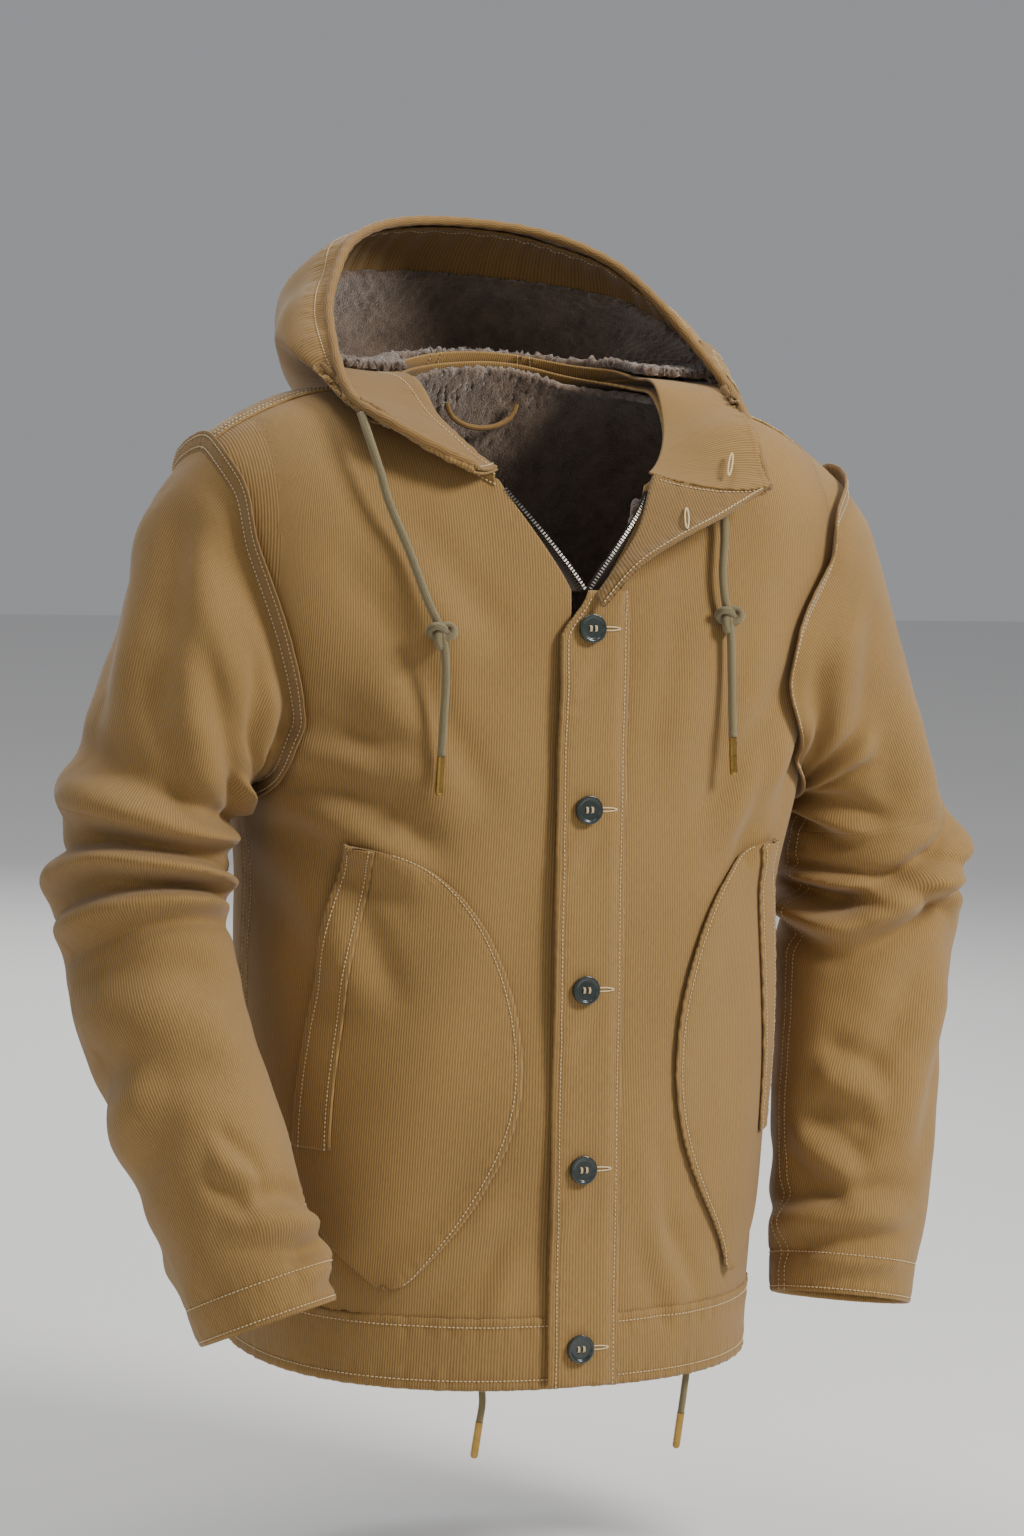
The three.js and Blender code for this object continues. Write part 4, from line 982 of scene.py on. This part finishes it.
def make_sleeves():
    def make_part(part, arm, v0, v1, rows, bodies, bend, nodes):
        whole, folds, table = sleeve_surface(arm), sleeve_folds(arm), sleeve_table(arm)
        m = MIRROR[arm]

        def f(u, v):
            return whole(u + INSEAM, lerp(v0, v1, v))

        def shape(p, u, v):
            return folds(p, (u + INSEAM) % 1, lerp(v0, v1, v))

        def sleeve_grain(p, u, v):
            ring = lerp(v0, v1, v)
            row = catmull(table, ring)
            girth = 2 * np.pi * np.sqrt((row[..., 3:9] ** 2).sum(axis=-1) / 2)
            return np.stack([(u - 0.5) * girth, ring * ALONG], axis=-1)

        lines = along_v(0.975, 0.997)
        if part == "lower":
            lines += along_u((CUFF_SEAM - v0) / (v1 - v0), 0.991)
        owner = (*bodies, *((m * x, y, z) for x, y, z in bend))
        obj = cloth(f"sleeve_{part}_{arm}", f, 124, rows, SLEEVE_THICK, shape, lines, owner=owner, around=True, out=m,
                    uv=sleeve_grain, pucker=0.6)
        obj.data.set_sharp_from_angle(angle=math.radians(55))
        dress(obj, "cloth", owner, *(f"{n}_{arm}" for n in nodes))
        declare_sheet(obj)

    for arm in MIRROR:
        upper, forearm = f"upper_sleeve_{arm}", f"forearm_{arm}"
        make_part("upper", arm, 0, ELBOW_SPLIT, 74, ("jacket_body", upper), SHOULDER_BEND,
                  ("sleeve_head", "sleeve_upper_top", "sleeve_upper_under"))
        make_part("lower", arm, ELBOW_SPLIT, LAST_RING, 116, (upper, forearm), ELBOW_BEND,
                  ("sleeve_elbow", "sleeve_forearm_top", "sleeve_forearm_under", "cuff_hem"))


STRIP_THICK, ARMHOLE_STRIP, SHOULDER_STRIP = 1.6, 14, 12


def make_armhole_seams():
    """A felled strip over each armhole, with two rows of stitches."""
    for arm in MIRROR:
        hole = armhole_round(arm)
        middle = hole(np.arange(60) / 60).mean(axis=0)

        def f(u, v, hole=hole, middle=middle):
            p = hole(v)
            tangent = unit(hole(v + 0.004) - hole(v - 0.004))
            out = unit(p * [1, 1, 0] + [0, 0, 60])
            side = unit(np.cross(tangent, out))
            away = np.sign((side * (p - middle)).sum(axis=-1).mean())
            return p + side * (away * (u * ARMHOLE_STRIP - 2))[..., None]

        strip = cloth(f"armhole_seam_{arm}", f, 6, 240, STRIP_THICK, no_folds, along_v(0.2, 0.8), lift=1.3,
                      pucker=0.3)
        dress(strip, "cloth", "jacket_body")


def make_shoulder_seams():
    """A felled strip along the top of each shoulder."""
    for arm, m in MIRROR.items():
        end = float(t_of(m * 90, ARMHOLE[arm][0][1]))

        def f(u, v, m=m, end=end):
            t = lerp(0.03, end, v)
            p = body(m * 90 + 0 * t, t)
            side = unit(body(m * 90.5 + 0 * t, t) - body(m * 89.5 + 0 * t, t))
            return p + side * ((u - 0.5) * SHOULDER_STRIP)[..., None]

        strip = cloth(f"shoulder_seam_{arm}", f, 6, 60, STRIP_THICK, body_folds, along_v(0.2, 0.8), lift=1.4,
                      pucker=0.3)
        dress(strip, "cloth", "jacket_body")


# ---------- storm flap, buttons, pockets, lapel ----------
FLAP_TOP_Z = V_DEPTH_Z - 1
FLAP_LIFT, FLAP_MERGE = 5.4, 3
BUTTON_TOP_Z, BUTTON_PITCH, BUTTON_COUNT, BUTTON_R, BUTTON_THICK = -160, 125, 5, 10, 3.4
HOLE_OFF, HOLE_R = 2, 0.95
BUTTONHOLE, BUTTONHOLE_AT, LAPEL_HOLE = (19, 2.6), (13, 0.1, 0), (21, 2.6)


def flap_u(x):
    return (x + FLAP_RIGHT) / (FLAP_LEFT + FLAP_MERGE + FLAP_RIGHT)


def flap_height(u, v):
    """How far the flap stands off the front: closed down along its seam, sagging a little between buttons."""
    between = 0.5 - 0.5 * np.cos(v * (FLAP_TOP_Z - HEM_Z) / BUTTON_PITCH * 2 * np.pi + 0.7)
    free = 1 - smooth(u, 0.05, 0.5)
    return FLAP_LIFT - 3.2 * smooth(u, 0.75, 1) + 1.5 * between * free


def flap_folds(p, u, v):
    x, z = p[..., 0], p[..., 2]
    buttons = [BUTTON_TOP_Z - k * BUTTON_PITCH for k in range(BUTTON_COUNT)]
    pulls = sum(ridge(x, z, (2, at - 14), (-16, at - 42), 0.9, 8) for at in buttons)
    return pulls + 0.35 * np.sin(z * 0.045 + x * 0.05)


def make_flap():
    def f(u, v):
        z = lerp(FLAP_TOP_Z, HEM_Z + 1, v)
        free_edge = -FLAP_RIGHT + (FLAP_RIGHT - 1) * smooth(z, FLAP_TOP_Z - 34, FLAP_TOP_Z + 1)
        return on_front(lerp(free_edge, FLAP_LEFT + FLAP_MERGE, u), z)

    lines = [straight(0.085, 0.085, 0.01, 1), *along_v(flap_u(FLAP_LEFT))]
    flap = cloth("flap", f, 26, 230, 2.6, flap_folds, lines, lift=flap_height, uv=grain, pucker=0.45)
    declare_sheet(dress(flap, "cloth", "jacket_body", "storm_flap"))


def edit_mode(obj):
    """Opens a piece in edit mode with nothing selected."""
    bpy.ops.object.select_all(action="DESELECT")
    bpy.context.view_layer.objects.active = obj
    obj.select_set(True)
    bpy.ops.object.mode_set(mode="EDIT")
    bpy.ops.mesh.select_mode(type="FACE")
    bpy.ops.mesh.select_all(action="DESELECT")


def pick_faces(obj, test):
    mesh = bmesh.from_edit_mesh(obj.data)
    for face in mesh.faces:
        face.select_set(test(face))
    bmesh.update_edit_mesh(obj.data)


def button_model():
    """A dished four-hole button facing -Y, its back at the origin."""
    thick, upright = BUTTON_THICK * MM, (math.pi / 2, 0, 0)
    bpy.ops.mesh.primitive_cylinder_add(vertices=44, radius=BUTTON_R * MM, depth=thick,
                                        location=(0, -thick / 2, 0), rotation=upright)
    button = bpy.context.object
    bpy.ops.object.transform_apply(location=True, rotation=True, scale=True)
    edit_mode(button)
    pick_faces(button, lambda face: face.normal.y < -0.9)
    bpy.ops.mesh.inset(thickness=1.9 * MM)
    bpy.ops.mesh.inset(thickness=0.7 * MM)
    bpy.ops.transform.translate(value=(0, 1.0 * MM, 0))
    bpy.ops.mesh.inset(thickness=1.2 * MM)
    bpy.ops.object.mode_set(mode="OBJECT")
    rounding = button.modifiers.new("rounding", "BEVEL")
    rounding.width = 0.5 * MM
    rounding.segments = 3
    rounding.limit_method = "ANGLE"
    bpy.ops.object.modifier_apply(modifier="rounding")
    for x, z in ((-1, -1), (-1, 1), (1, -1), (1, 1)):
        bpy.ops.mesh.primitive_cylinder_add(vertices=16, radius=HOLE_R * MM, depth=12 * MM, rotation=upright,
                                            location=(x * HOLE_OFF * MM, 0, z * HOLE_OFF * MM))
        drill = bpy.context.object
        hole = button.modifiers.new("hole", "BOOLEAN")
        hole.object = drill
        bpy.ops.object.select_all(action="DESELECT")
        bpy.context.view_layer.objects.active = button
        button.select_set(True)
        bpy.ops.object.modifier_apply(modifier="hole")
        bpy.data.objects.remove(drill)
    bpy.ops.object.shade_smooth_by_angle(angle=math.radians(35))
    return button


def oval(width, height, count=40):
    """The ring of a buttonhole, upright in the XZ plane."""
    a = np.arange(count) / count * 2 * np.pi
    return np.stack([np.cos(a) * width / 2, 0 * a, np.sin(a) * height / 2], axis=1)


def front_frame(x, z, lift):
    """A place on the front, and the turn that lays the XZ plane against it."""
    p, n = surface(lambda u, v: on_front(x + u * 100, z - v * 100), np.zeros(1), np.zeros(1))
    y_axis = -Vector(n[0])
    x_axis = Vector((1, 0, 0))
    x_axis = (x_axis - y_axis * x_axis.dot(y_axis)).normalized()
    turn = Matrix((x_axis, y_axis, x_axis.cross(y_axis))).transposed()
    return p[0] + n[0] * lift, turn


def make_buttons():
    """The buttons, each with two pairs of threads through its holes, and the buttonhole beside it."""
    model = button_model()
    for k in range(BUTTON_COUNT):
        place, turn = front_frame(0.01, BUTTON_TOP_Z - k * BUTTON_PITCH, FLAP_LIFT + 1.3)
        button = model.copy()
        button.data = model.data.copy()
        button.name = f"button_disc_{k + 1}"
        bpy.context.scene.collection.objects.link(button)
        button.data.transform(Matrix.Translation(Vector(place * MM)) @ turn.to_4x4())
        dress(button, "button", "jacket_body", f"button_{k + 1}")
        turn = np.array(turn)
        bars = []
        for x in (-HOLE_OFF - 0.45, -HOLE_OFF + 0.45, HOLE_OFF - 0.45, HOLE_OFF + 0.45):
            a = np.array([[x, -1.0, -2.3], [x, -2.9, -1.6], [x, -3.2, 0], [x, -2.9, 1.6], [x, -1.0, 2.3]])
            bars.append(tube(f"button_bar_{k}_{x}", catmull(a, np.linspace(0, 4, 13)) @ turn.T + place, THREAD_R, 8))
        ring = oval(*BUTTONHOLE) + [BUTTONHOLE_AT]
        bars.append(tube(f"buttonhole_{k}", ring @ turn.T + place + turn @ [0, 0.9, 0], 0.55, 8, closed=True))
        join(bars, f"button_thread_{k + 1}")
    bpy.data.objects.remove(model)


def join(objects, name):
    """Makes pieces of thread one piece on the jacket's body."""
    bpy.ops.object.select_all(action="DESELECT")
    for o in objects:
        o.select_set(True)
    bpy.context.view_layer.objects.active = objects[0]
    bpy.ops.object.join()
    objects[0].name = objects[0].data.name = name
    bpy.ops.object.select_all(action="DESELECT")
    return dress(objects[0], "thread", "jacket_body")


POCKET_TOP_Z, POCKET_BOTTOM_Z, POCKET_MID_Z = -312, -618, -466
POCKET_OPENING_TOP, POCKET_OPENING_LOW, POCKET_SLANT_END_Z = 165, 186, -540
POCKET_ROUND = {"right": 47, "left": 80}
POCKET_FOOT_IN, POCKET_CORNER = 40, 28
WELT_WIDTH, WELT_END_Z = 17, -525


def pocket_edges(arm, z):
    """The opening edge and the round edge of a pocket at a height."""
    low = z < POCKET_MID_Z
    h = (z - POCKET_MID_Z) / np.where(low, POCKET_MID_Z - POCKET_BOTTOM_Z, POCKET_TOP_Z - POCKET_MID_Z)
    slant = np.clip((POCKET_TOP_Z - z) / (POCKET_TOP_Z - POCKET_SLANT_END_Z), 0, 1)
    low_in = np.where(low, POCKET_FOOT_IN * h * h, 0)
    edge = lerp(POCKET_OPENING_TOP, POCKET_OPENING_LOW, slant) - np.where(low, POCKET_CORNER * h**6, 0)
    reach = np.sqrt(np.maximum(0, 1 - h * h))
    return edge - low_in * 0.6, edge - (edge - POCKET_ROUND[arm] - low_in) * reach - 2 - low_in * 0.6


def pocket_z(v):
    """Heights from the top of a pocket to its bottom, close together at both ends."""
    return lerp(POCKET_TOP_Z, POCKET_BOTTOM_Z, (1 - np.cos(np.clip(v, 0, 1) * np.pi)) / 2)


def pocket_stitch_line(arm, gap):
    """A line in u and v that keeps a gap inside the round edge of a pocket."""
    z = pocket_z(np.linspace(0.02, 0.985, 70))
    middle, half = (POCKET_TOP_Z + POCKET_BOTTOM_Z) / 2, (POCKET_TOP_Z - POCKET_BOTTOM_Z) / 2
    z_in = middle + (z - middle) * (half - gap) / half
    v_in = np.arccos(np.clip(1 - 2 * (POCKET_TOP_Z - z_in) / (2 * half), -1, 1)) / np.pi
    open_in, round_in = pocket_edges(arm, z_in)
    lean = np.abs(z - middle) / half
    u_in = (gap * (1 - lean**3)) / np.maximum(open_in - round_in, gap * 1.2)
    return np.clip(u_in, 0.01, 0.98), v_in


def make_pockets():
    for arm, m in MIRROR.items():
        def patch_at(u, v, arm=arm, m=m):
            z = pocket_z(v)
            opening, rounded = pocket_edges(arm, z)
            return on_front(m * lerp(rounded, opening, u), z)

        def welt_at(u, v, arm=arm, m=m):
            z = lerp(POCKET_TOP_Z - 2, WELT_END_Z, v)
            opening, rounded = pocket_edges(arm, z)
            inner = np.maximum(opening - WELT_WIDTH, rounded + 1)
            return on_front(m * lerp(inner, opening, u), z)

        patch = cloth(f"pocket_patch_{arm}", patch_at, 64, 110, 2.2, body_folds, [pocket_stitch_line(arm, 4)],
                      lift=4.6, uv=grain, pucker=0.6)
        declare_sheet(dress(patch, "cloth", "jacket_body", f"pocket_{arm}"))
        strip = cloth(f"pocket_band_{arm}", welt_at, 10, 90, 2.0, body_folds, along_v(0.14, 0.86), lift=7.4,
                      uv=grain, pucker=0.4)
        dress(strip, "cloth", "jacket_body", f"pocket_welt_{arm}")


LAPEL_OUTER = [(6, -125, -143), (30, -129, -114), (62, -129, -94), (100, -123, -78), (139, -110, -62)]
LAPEL_TOP, LAPEL_STANDS = (62, -68), np.array([0, -6, 2])


def lapel_surface(u, v):
    """From the foot of the V, along its open edge, to the end of the hood."""
    u, v = np.broadcast_arrays(np.asarray(u, float), np.clip(v, 0, 1))
    inner = on_front(lerp(4, LAPEL_TOP[0], v), lerp(V_DEPTH_Z - 4, LAPEL_TOP[1], v)) + LAPEL_STANDS
    flat = lerp(inner, catmull(np.array(LAPEL_OUTER, float), v * (len(LAPEL_OUTER) - 1)), u[..., None])
    end_inner = on_front(*(np.array([float(c)]) for c in LAPEL_TOP))[0] + LAPEL_STANDS
    end = lerp(end_inner, np.array(LAPEL_OUTER[-1], float), u[..., None])
    hood_end = hood(np.ones(u.shape), np.clip(0.97 * (1 - u), 0, 1))
    return flat + (hood_end - end) * (smooth(v, 0.45, 1) ** 2)[..., None]


def lapel_folds(p, u, v):
    return 1.5 * np.sin(v * 6 + u * 2) * np.sin(u * np.pi) + 1.2 * smooth(u, 0.86, 0.97)


def upright_grain(p, u, v):
    return p[..., [0, 2]]


def make_lapel():
    """The top of the left front, turned back, with its own buttonhole and one on the chin beside it."""
    lines = [straight(0.95, 0.95, 0.03, 1), straight(0.89, 0.89, 0.06, 1), straight(0.05, 0.98, 0.97, 0.97)]
    lapel = cloth("lapel", lapel_surface, 40, 70, 3, lapel_folds, lines, out=1, lift=0.8, uv=upright_grain,
                  pucker=0.5)
    declare_sheet(dress(lapel, "cloth_inside", "jacket_body", "lapel_left"))
    chin_side = -outward_side(hood_part(0.58, 1, 0, 1))
    holes = [
        worked_hole("lapel_buttonhole_1", lapel_surface, 0.55, 0.70, (0.5, -0.25), 1, 2.2),
        worked_hole("lapel_buttonhole_2", hood, 0.972, 0.40, (0.3, 0.9), chin_side, 7.2),
    ]
    join(holes, "lapel_buttonholes")


def worked_hole(name, f, u, v, direction, out, lift):
    """A buttonhole's ring of thread, lying on f at (u, v) and pointing along direction."""
    p, n = surface(f, np.array([float(u)]), np.array([float(v)]), out)
    ahead = f(np.array([u + direction[0] * 0.01]), np.array([v + direction[1] * 0.01]))[0]
    x_axis = unit(ahead - p[0])
    n = n[0]
    x_axis = unit(x_axis - n * (x_axis @ n))
    z_axis = np.cross(x_axis, n)
    ring = oval(*LAPEL_HOLE)
    points = p[0] + n * lift + ring[:, :1] * x_axis + ring[:, 2:] * z_axis
    return tube(name, points, 0.6, 8, closed=True)


TOOTH_PITCH = 2.4
TOOTH_FACES = ((0, 1, 3, 2), (4, 6, 7, 5), (0, 4, 5, 1), (2, 3, 7, 6), (0, 2, 6, 4), (1, 5, 7, 3))


def make_neck_zip():
    """The open top of the zip: a tape and a row of teeth along each side of the V."""
    v_t = float(t_of(0, V_DEPTH_Z))
    for arm, side in MIRROR.items():
        def edge(s, inset, side=side):
            t = lerp(v_t, 0.04, s)
            return body(edge_angle(t, side, inset), t)

        def f(u, v, edge=edge):
            return edge(v, ZIP_GAP - 13 * u)

        tape = cloth(f"neck_tape_{arm}", f, 6, 60, 1.2, lift=-2.2, uv=upright_grain)
        dress(tape, "zip_tape", "jacket_body")
        path = resample(edge(np.linspace(0.02, 1, 60), 1.5), TOOTH_PITCH)
        n = unit(path * [1, 1, 0] + [0, 0, 60])
        along = unit(np.gradient(path, axis=0))
        corners = [(a, b, c) for a in (-1.3, 1.3) for b in (-0.62, 0.62) for c in (-1.6, 1.2)]
        vertices = [p + w * a + d * b + m * c
                    for p, w, d, m in zip(path, np.cross(along, n), along, n) for a, b, c in corners]
        faces = [[8 * k + corner for corner in quad] for k in range(len(path)) for quad in TOOTH_FACES]
        teeth = make_object(f"neck_teeth_{arm}", vertices, faces)
        mesh = bmesh.new()
        mesh.from_mesh(teeth.data)
        bmesh.ops.recalc_face_normals(mesh, faces=mesh.faces)
        mesh.to_mesh(teeth.data)
        mesh.free()
        teeth.data.shade_flat()
        dress(teeth, "zip_metal", "jacket_body")


# ---------- hood ----------
# Stations from the right chin round the top to the left chin: rim, two handles that shape the bag, foot angle.
HOOD_ROWS = np.array(
    [
        [-83, -91, -49, -86, -95, -54, -80, -96, -58, 37], [-139, -85, -24, -150, -85, -32, -118, -74, -34, 60],
        [-158, -45, -4, -180, -38, -10, -142, -30, -6, 82], [-151, 13, 43, -212, 30, 28, -174, 44, 2, 105],
        [-130, 55, 74, -188, 94, 60, -160, 108, -50, 125], [-102, 92, 98, -158, 178, 92, -134, 160, -120, 143],
        [-58, 125, 111, -92, 246, 106, -80, 192, -174, 162], [0, 138, 114, 0, 270, 110, 0, 204, -190, 180],
        [58, 118, 108, 92, 240, 104, 80, 190, -172, 198], [98, 82, 90, 154, 170, 88, 132, 157, -116, 217],
        [122, 46, 62, 180, 88, 54, 156, 104, -48, 235], [140, 8, 28, 190, 34, 18, 166, 46, 0, 255],
        [148, -30, 0, 152, -24, -4, 128, -26, -4, 278], [142, -72, -24, 128, -68, -22, 104, -60, -26, 300],
        [139, -108, -60, 118, -110, -66, 92, -103, -64, 323],
    ],
    float,
)
NECK_LIFT = 6
HOOD_CENTRE = (0.42, 0.58)
RIM_R = 3.6


def hood_foot(row):
    """Where the hood meets the neck seam."""
    angle = row[..., 9]
    return body(np.where(angle < 180, -angle, 360 - angle), 0 * angle) + [0, 0, NECK_LIFT]


def hood(u, v):
    """The hood's outside: u from chin to chin and v from the rim to the neck seam."""
    row = catmull(HOOD_ROWS, np.clip(u, 0, 1) * (len(HOOD_ROWS) - 1))
    v = np.broadcast_to(v, row.shape[:-1])[..., None]
    w = 1 - v
    return (row[..., :3] * w**3 + row[..., 3:6] * 3 * w * w * v + row[..., 6:9] * 3 * w * v * v
            + hood_foot(row) * v**3)


def hood_folds(p, u=None, v=None):
    x, y, z = p[..., 0], p[..., 1], p[..., 2]
    drape = 2.2 * np.sin(x * 0.045 + z * 0.03) * np.sin(z * 0.05 - y * 0.02 + 1) + 1.1 * np.sin(y * 0.09 + z * 0.06)
    low = smooth(-z, 20, 90) * smooth(y, 40, 110)
    return drape + low * 2.6 * np.sin(z * 0.11 + x * 0.02)


def hood_part(u0, u1, v0, v1):
    return lambda u, v: hood(lerp(u0, u1, u), lerp(v0, v1, v))


def hood_grain(p, u, v):
    across = np.arctan2(p[..., 0], p[..., 1] + 60) * 170
    return np.stack([across, p[..., 2] * 0.6 - p[..., 1] * 0.8], axis=-1)


def outward_side(f):
    """The turn of u and v that faces away from the middle of the hood."""
    p, n = surface(f, np.array([0.5]), np.array([0.3]), 1)
    return 1 if ((p[0] - [0, 40, 0]) * n[0]).sum() > 0 else -1


def gathers(p, u, v):
    wave = np.sin(u * 260 + 3 * np.sin(u * 31))
    return -hood_folds(p) * 0.6 + 1.1 * wave * smooth(v, 0, 0.2) * (1 - 0.4 * v)


def hood_tufts(p, u, v):
    return tufts(p) * 1.3 - hood_folds(p) * 0.8


def inside_out_folds(p, u, v):
    return -hood_folds(p)


def make_hood():
    """The outer panels, the gathered facing, the pile, the chin facings and the rim."""
    parts = [
        ("right", 0.0, HOOD_CENTRE[0], 150, ("hood_side_right", "hood_chin_right")),
        ("centre", *HOOD_CENTRE, 52, ("hood_center_panel", "hood_skirt")),
        ("left", HOOD_CENTRE[1], 1.0, 150, ("hood_side_left", "hood_chin_left")),
    ]
    for part, u0, u1, columns, nodes in parts:
        f = hood_part(u0, u1, 0.004, 1.0)
        lines = [*along_u(0.05)]
        lines += [straight(0.035, 0.035, 0.05, 1)] if u0 > 0 else []
        lines += [straight(0.965, 0.965, 0.05, 1)] if u1 < 1 else []
        panel = cloth(f"hood_panel_{part}", f, columns, 96, 2.2, hood_folds, lines, out=outward_side(f),
                      uv=hood_grain, pucker=0.7)
        declare_sheet(dress(panel, "cloth", "jacket_body", *nodes))
    f = hood_part(0.1, 0.88, 0.03, 0.26)
    inward = -outward_side(f)
    facing = cloth("hood_band", f, 300, 26, 2, gathers, along_u(0.12, 0.9), out=inward, lift=6, uv=hood_grain)
    declare_sheet(dress(facing, "cloth_inside", "jacket_body", "hood_facing"))
    pile = cloth("hood_pile", hood_part(0.19, 0.81, 0.22, 0.995), 260, 120, 6, hood_tufts, out=inward, lift=11,
                 uv=hood_grain)
    declare_sheet(dress(pile, "pile", "jacket_body", "hood_lining", "hood_neck_lining"))
    for arm, u0, u1 in (("right", 0.0, 0.23), ("left", 0.77, 1.0)):
        f = hood_part(u0, u1, 0.02, 0.97)
        lines = [straight(0.04, 0.96, 0.08, 0.08), straight(0.04, 0.96, 0.93, 0.93), straight(0.04, 0.04, 0.08, 1)]
        chin = cloth(f"hood_chin_facing_{arm}", f, 60, 60, 2, inside_out_folds, lines, out=-outward_side(f), lift=5,
                     uv=hood_grain)
        declare_sheet(dress(chin, "cloth_inside", "jacket_body"))
    s = np.linspace(0.0, 1.0, 240)
    rim = tube("hood_edge", hood(s, 0 * s), RIM_R + 0.25 * np.sin(s * 300), 14)
    dress(rim, "cloth", "jacket_body", "hood_rim")


def make_neck_seam():
    """The strip over the seam between hood and body, stitched along both edges."""

    def f(u, v):
        row = catmull(HOOD_ROWS, np.clip(v, 0, 1) * (len(HOOD_ROWS) - 1))
        angle = row[..., 9]
        low = body(np.where(angle < 180, -angle, 360 - angle), 0 * angle + 0.035)
        return lerp(hood(v, 0 * v + 0.955), low, u[..., None])

    strip = cloth("neck_seam", f, 8, 260, STRIP_THICK, no_folds, along_v(0.15, 0.85), lift=2.0, uv=hood_grain,
                  pucker=0.35)
    dress(strip, "cloth", "jacket_body")


# ---------- stitches ----------
# A stitch's rings: place along it, size, and height over the cloth.
SPINDLE = ((-1, 0.25, -0.35), (-0.6, 1, 0.25), (0.6, 1, 0.25), (1, 0.25, -0.35))


def make_stitches():
    """Every row of stitches as short spindles of thread, lying in the cloth at their ends."""
    for number, (owner, rows) in enumerate(STITCHES.items()):
        places, directions, ups = [], [], []
        for points, normals in rows:
            both = resample(np.concatenate([points, normals], axis=1), STITCH_PITCH)
            places.append(both[:, :3])
            directions.append(unit(np.gradient(both[:, :3], axis=0)))
            ups.append(unit(both[:, 3:]))
        p, d, n = (np.concatenate(a) for a in (places, directions, ups))
        side = unit(np.cross(d, n))
        rings = []
        for along, scale, lift in SPINDLE:
            for corner in range(5):
                a, r = corner / 5 * 2 * math.pi, THREAD_R * scale
                middle = p + d * along * STITCH_LENGTH / 2
                rings.append(middle + side * (math.cos(a) * r) + n * (math.sin(a) * r + lift))
        vertices = np.stack(rings, axis=1).reshape(-1, 3)
        walls = [(ring * 5 + c, ring * 5 + (c + 1) % 5) for ring in range(3) for c in range(5)]
        shape = [(a, b, b + 5, a + 5) for a, b in walls] + [(4, 3, 2, 1, 0), (15, 16, 17, 18, 19)]
        faces = [[20 * k + corner for corner in face] for k in range(len(p)) for face in shape]
        dress(make_object(f"stitches_{number + 1}", vertices, faces), "thread", owner)


make_panels()
make_linings()
make_sleeves()
make_armhole_seams()
make_shoulder_seams()
make_flap()
make_pockets()
make_lapel()
make_neck_zip()
make_hood()
make_neck_seam()
make_buttons()
make_stitches()

# ---------- nodes kept from the frame ----------
KEPT = {"zip_tape": ("zip_tape_right", "zip_tape_left"), "cloth_inside": ("hanger_loop",),
        "zip_metal": ("zip_teeth_right", "zip_teeth_left", "zip_box", "zip_slider", "zip_pull")}
for look, nodes in KEPT.items():
    for node in nodes:
        finish_in(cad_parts[node], look)


# ---------- floor, backdrop and light ----------
FLOOR_Z = -0.86


def make_studio():
    bpy.ops.mesh.primitive_plane_add(size=14, location=(0, 0, FLOOR_Z))
    floor = bpy.context.object
    floor.name = "floor"
    floor.data.materials.append(new_material("pale_floor", Base_Color=(0.80, 0.79, 0.77, 1), Roughness=0.9)[0])
    world = bpy.data.worlds.new("studio")
    world.use_nodes = True
    sky = world.node_tree.nodes["Background"]
    sky.inputs["Color"].default_value = (0.93, 0.95, 1, 1)
    sky.inputs["Strength"].default_value = 0.33
    bpy.context.scene.world = world
    middle = Vector((0, 0, -0.33))
    # name, place, size in metres, power in watts, colour
    lamps = [
        ("key", (1.6, -1.7, 1.5), 0.8, 92, (1, 0.98, 0.95)),
        ("fill", (-2.4, -2.0, 0.5), 1.8, 11, (0.95, 0.97, 1)),
        ("top", (-0.3, 0.3, 2.3), 1.2, 36, (1, 1, 1)),
        ("rear", (0.6, 2.6, 0.9), 1.8, 32, (1, 1, 1)),
    ]
    for name, place, size, power, colour in lamps:
        data = bpy.data.lights.new(name, "AREA")
        data.size = size
        data.energy = power
        data.color = colour
        lamp = bpy.data.objects.new(name, data)
        lamp.location = place
        lamp.rotation_euler = (middle - Vector(place)).to_track_quat("-Z", "Y").to_euler()
        bpy.context.scene.collection.objects.link(lamp)


make_studio()
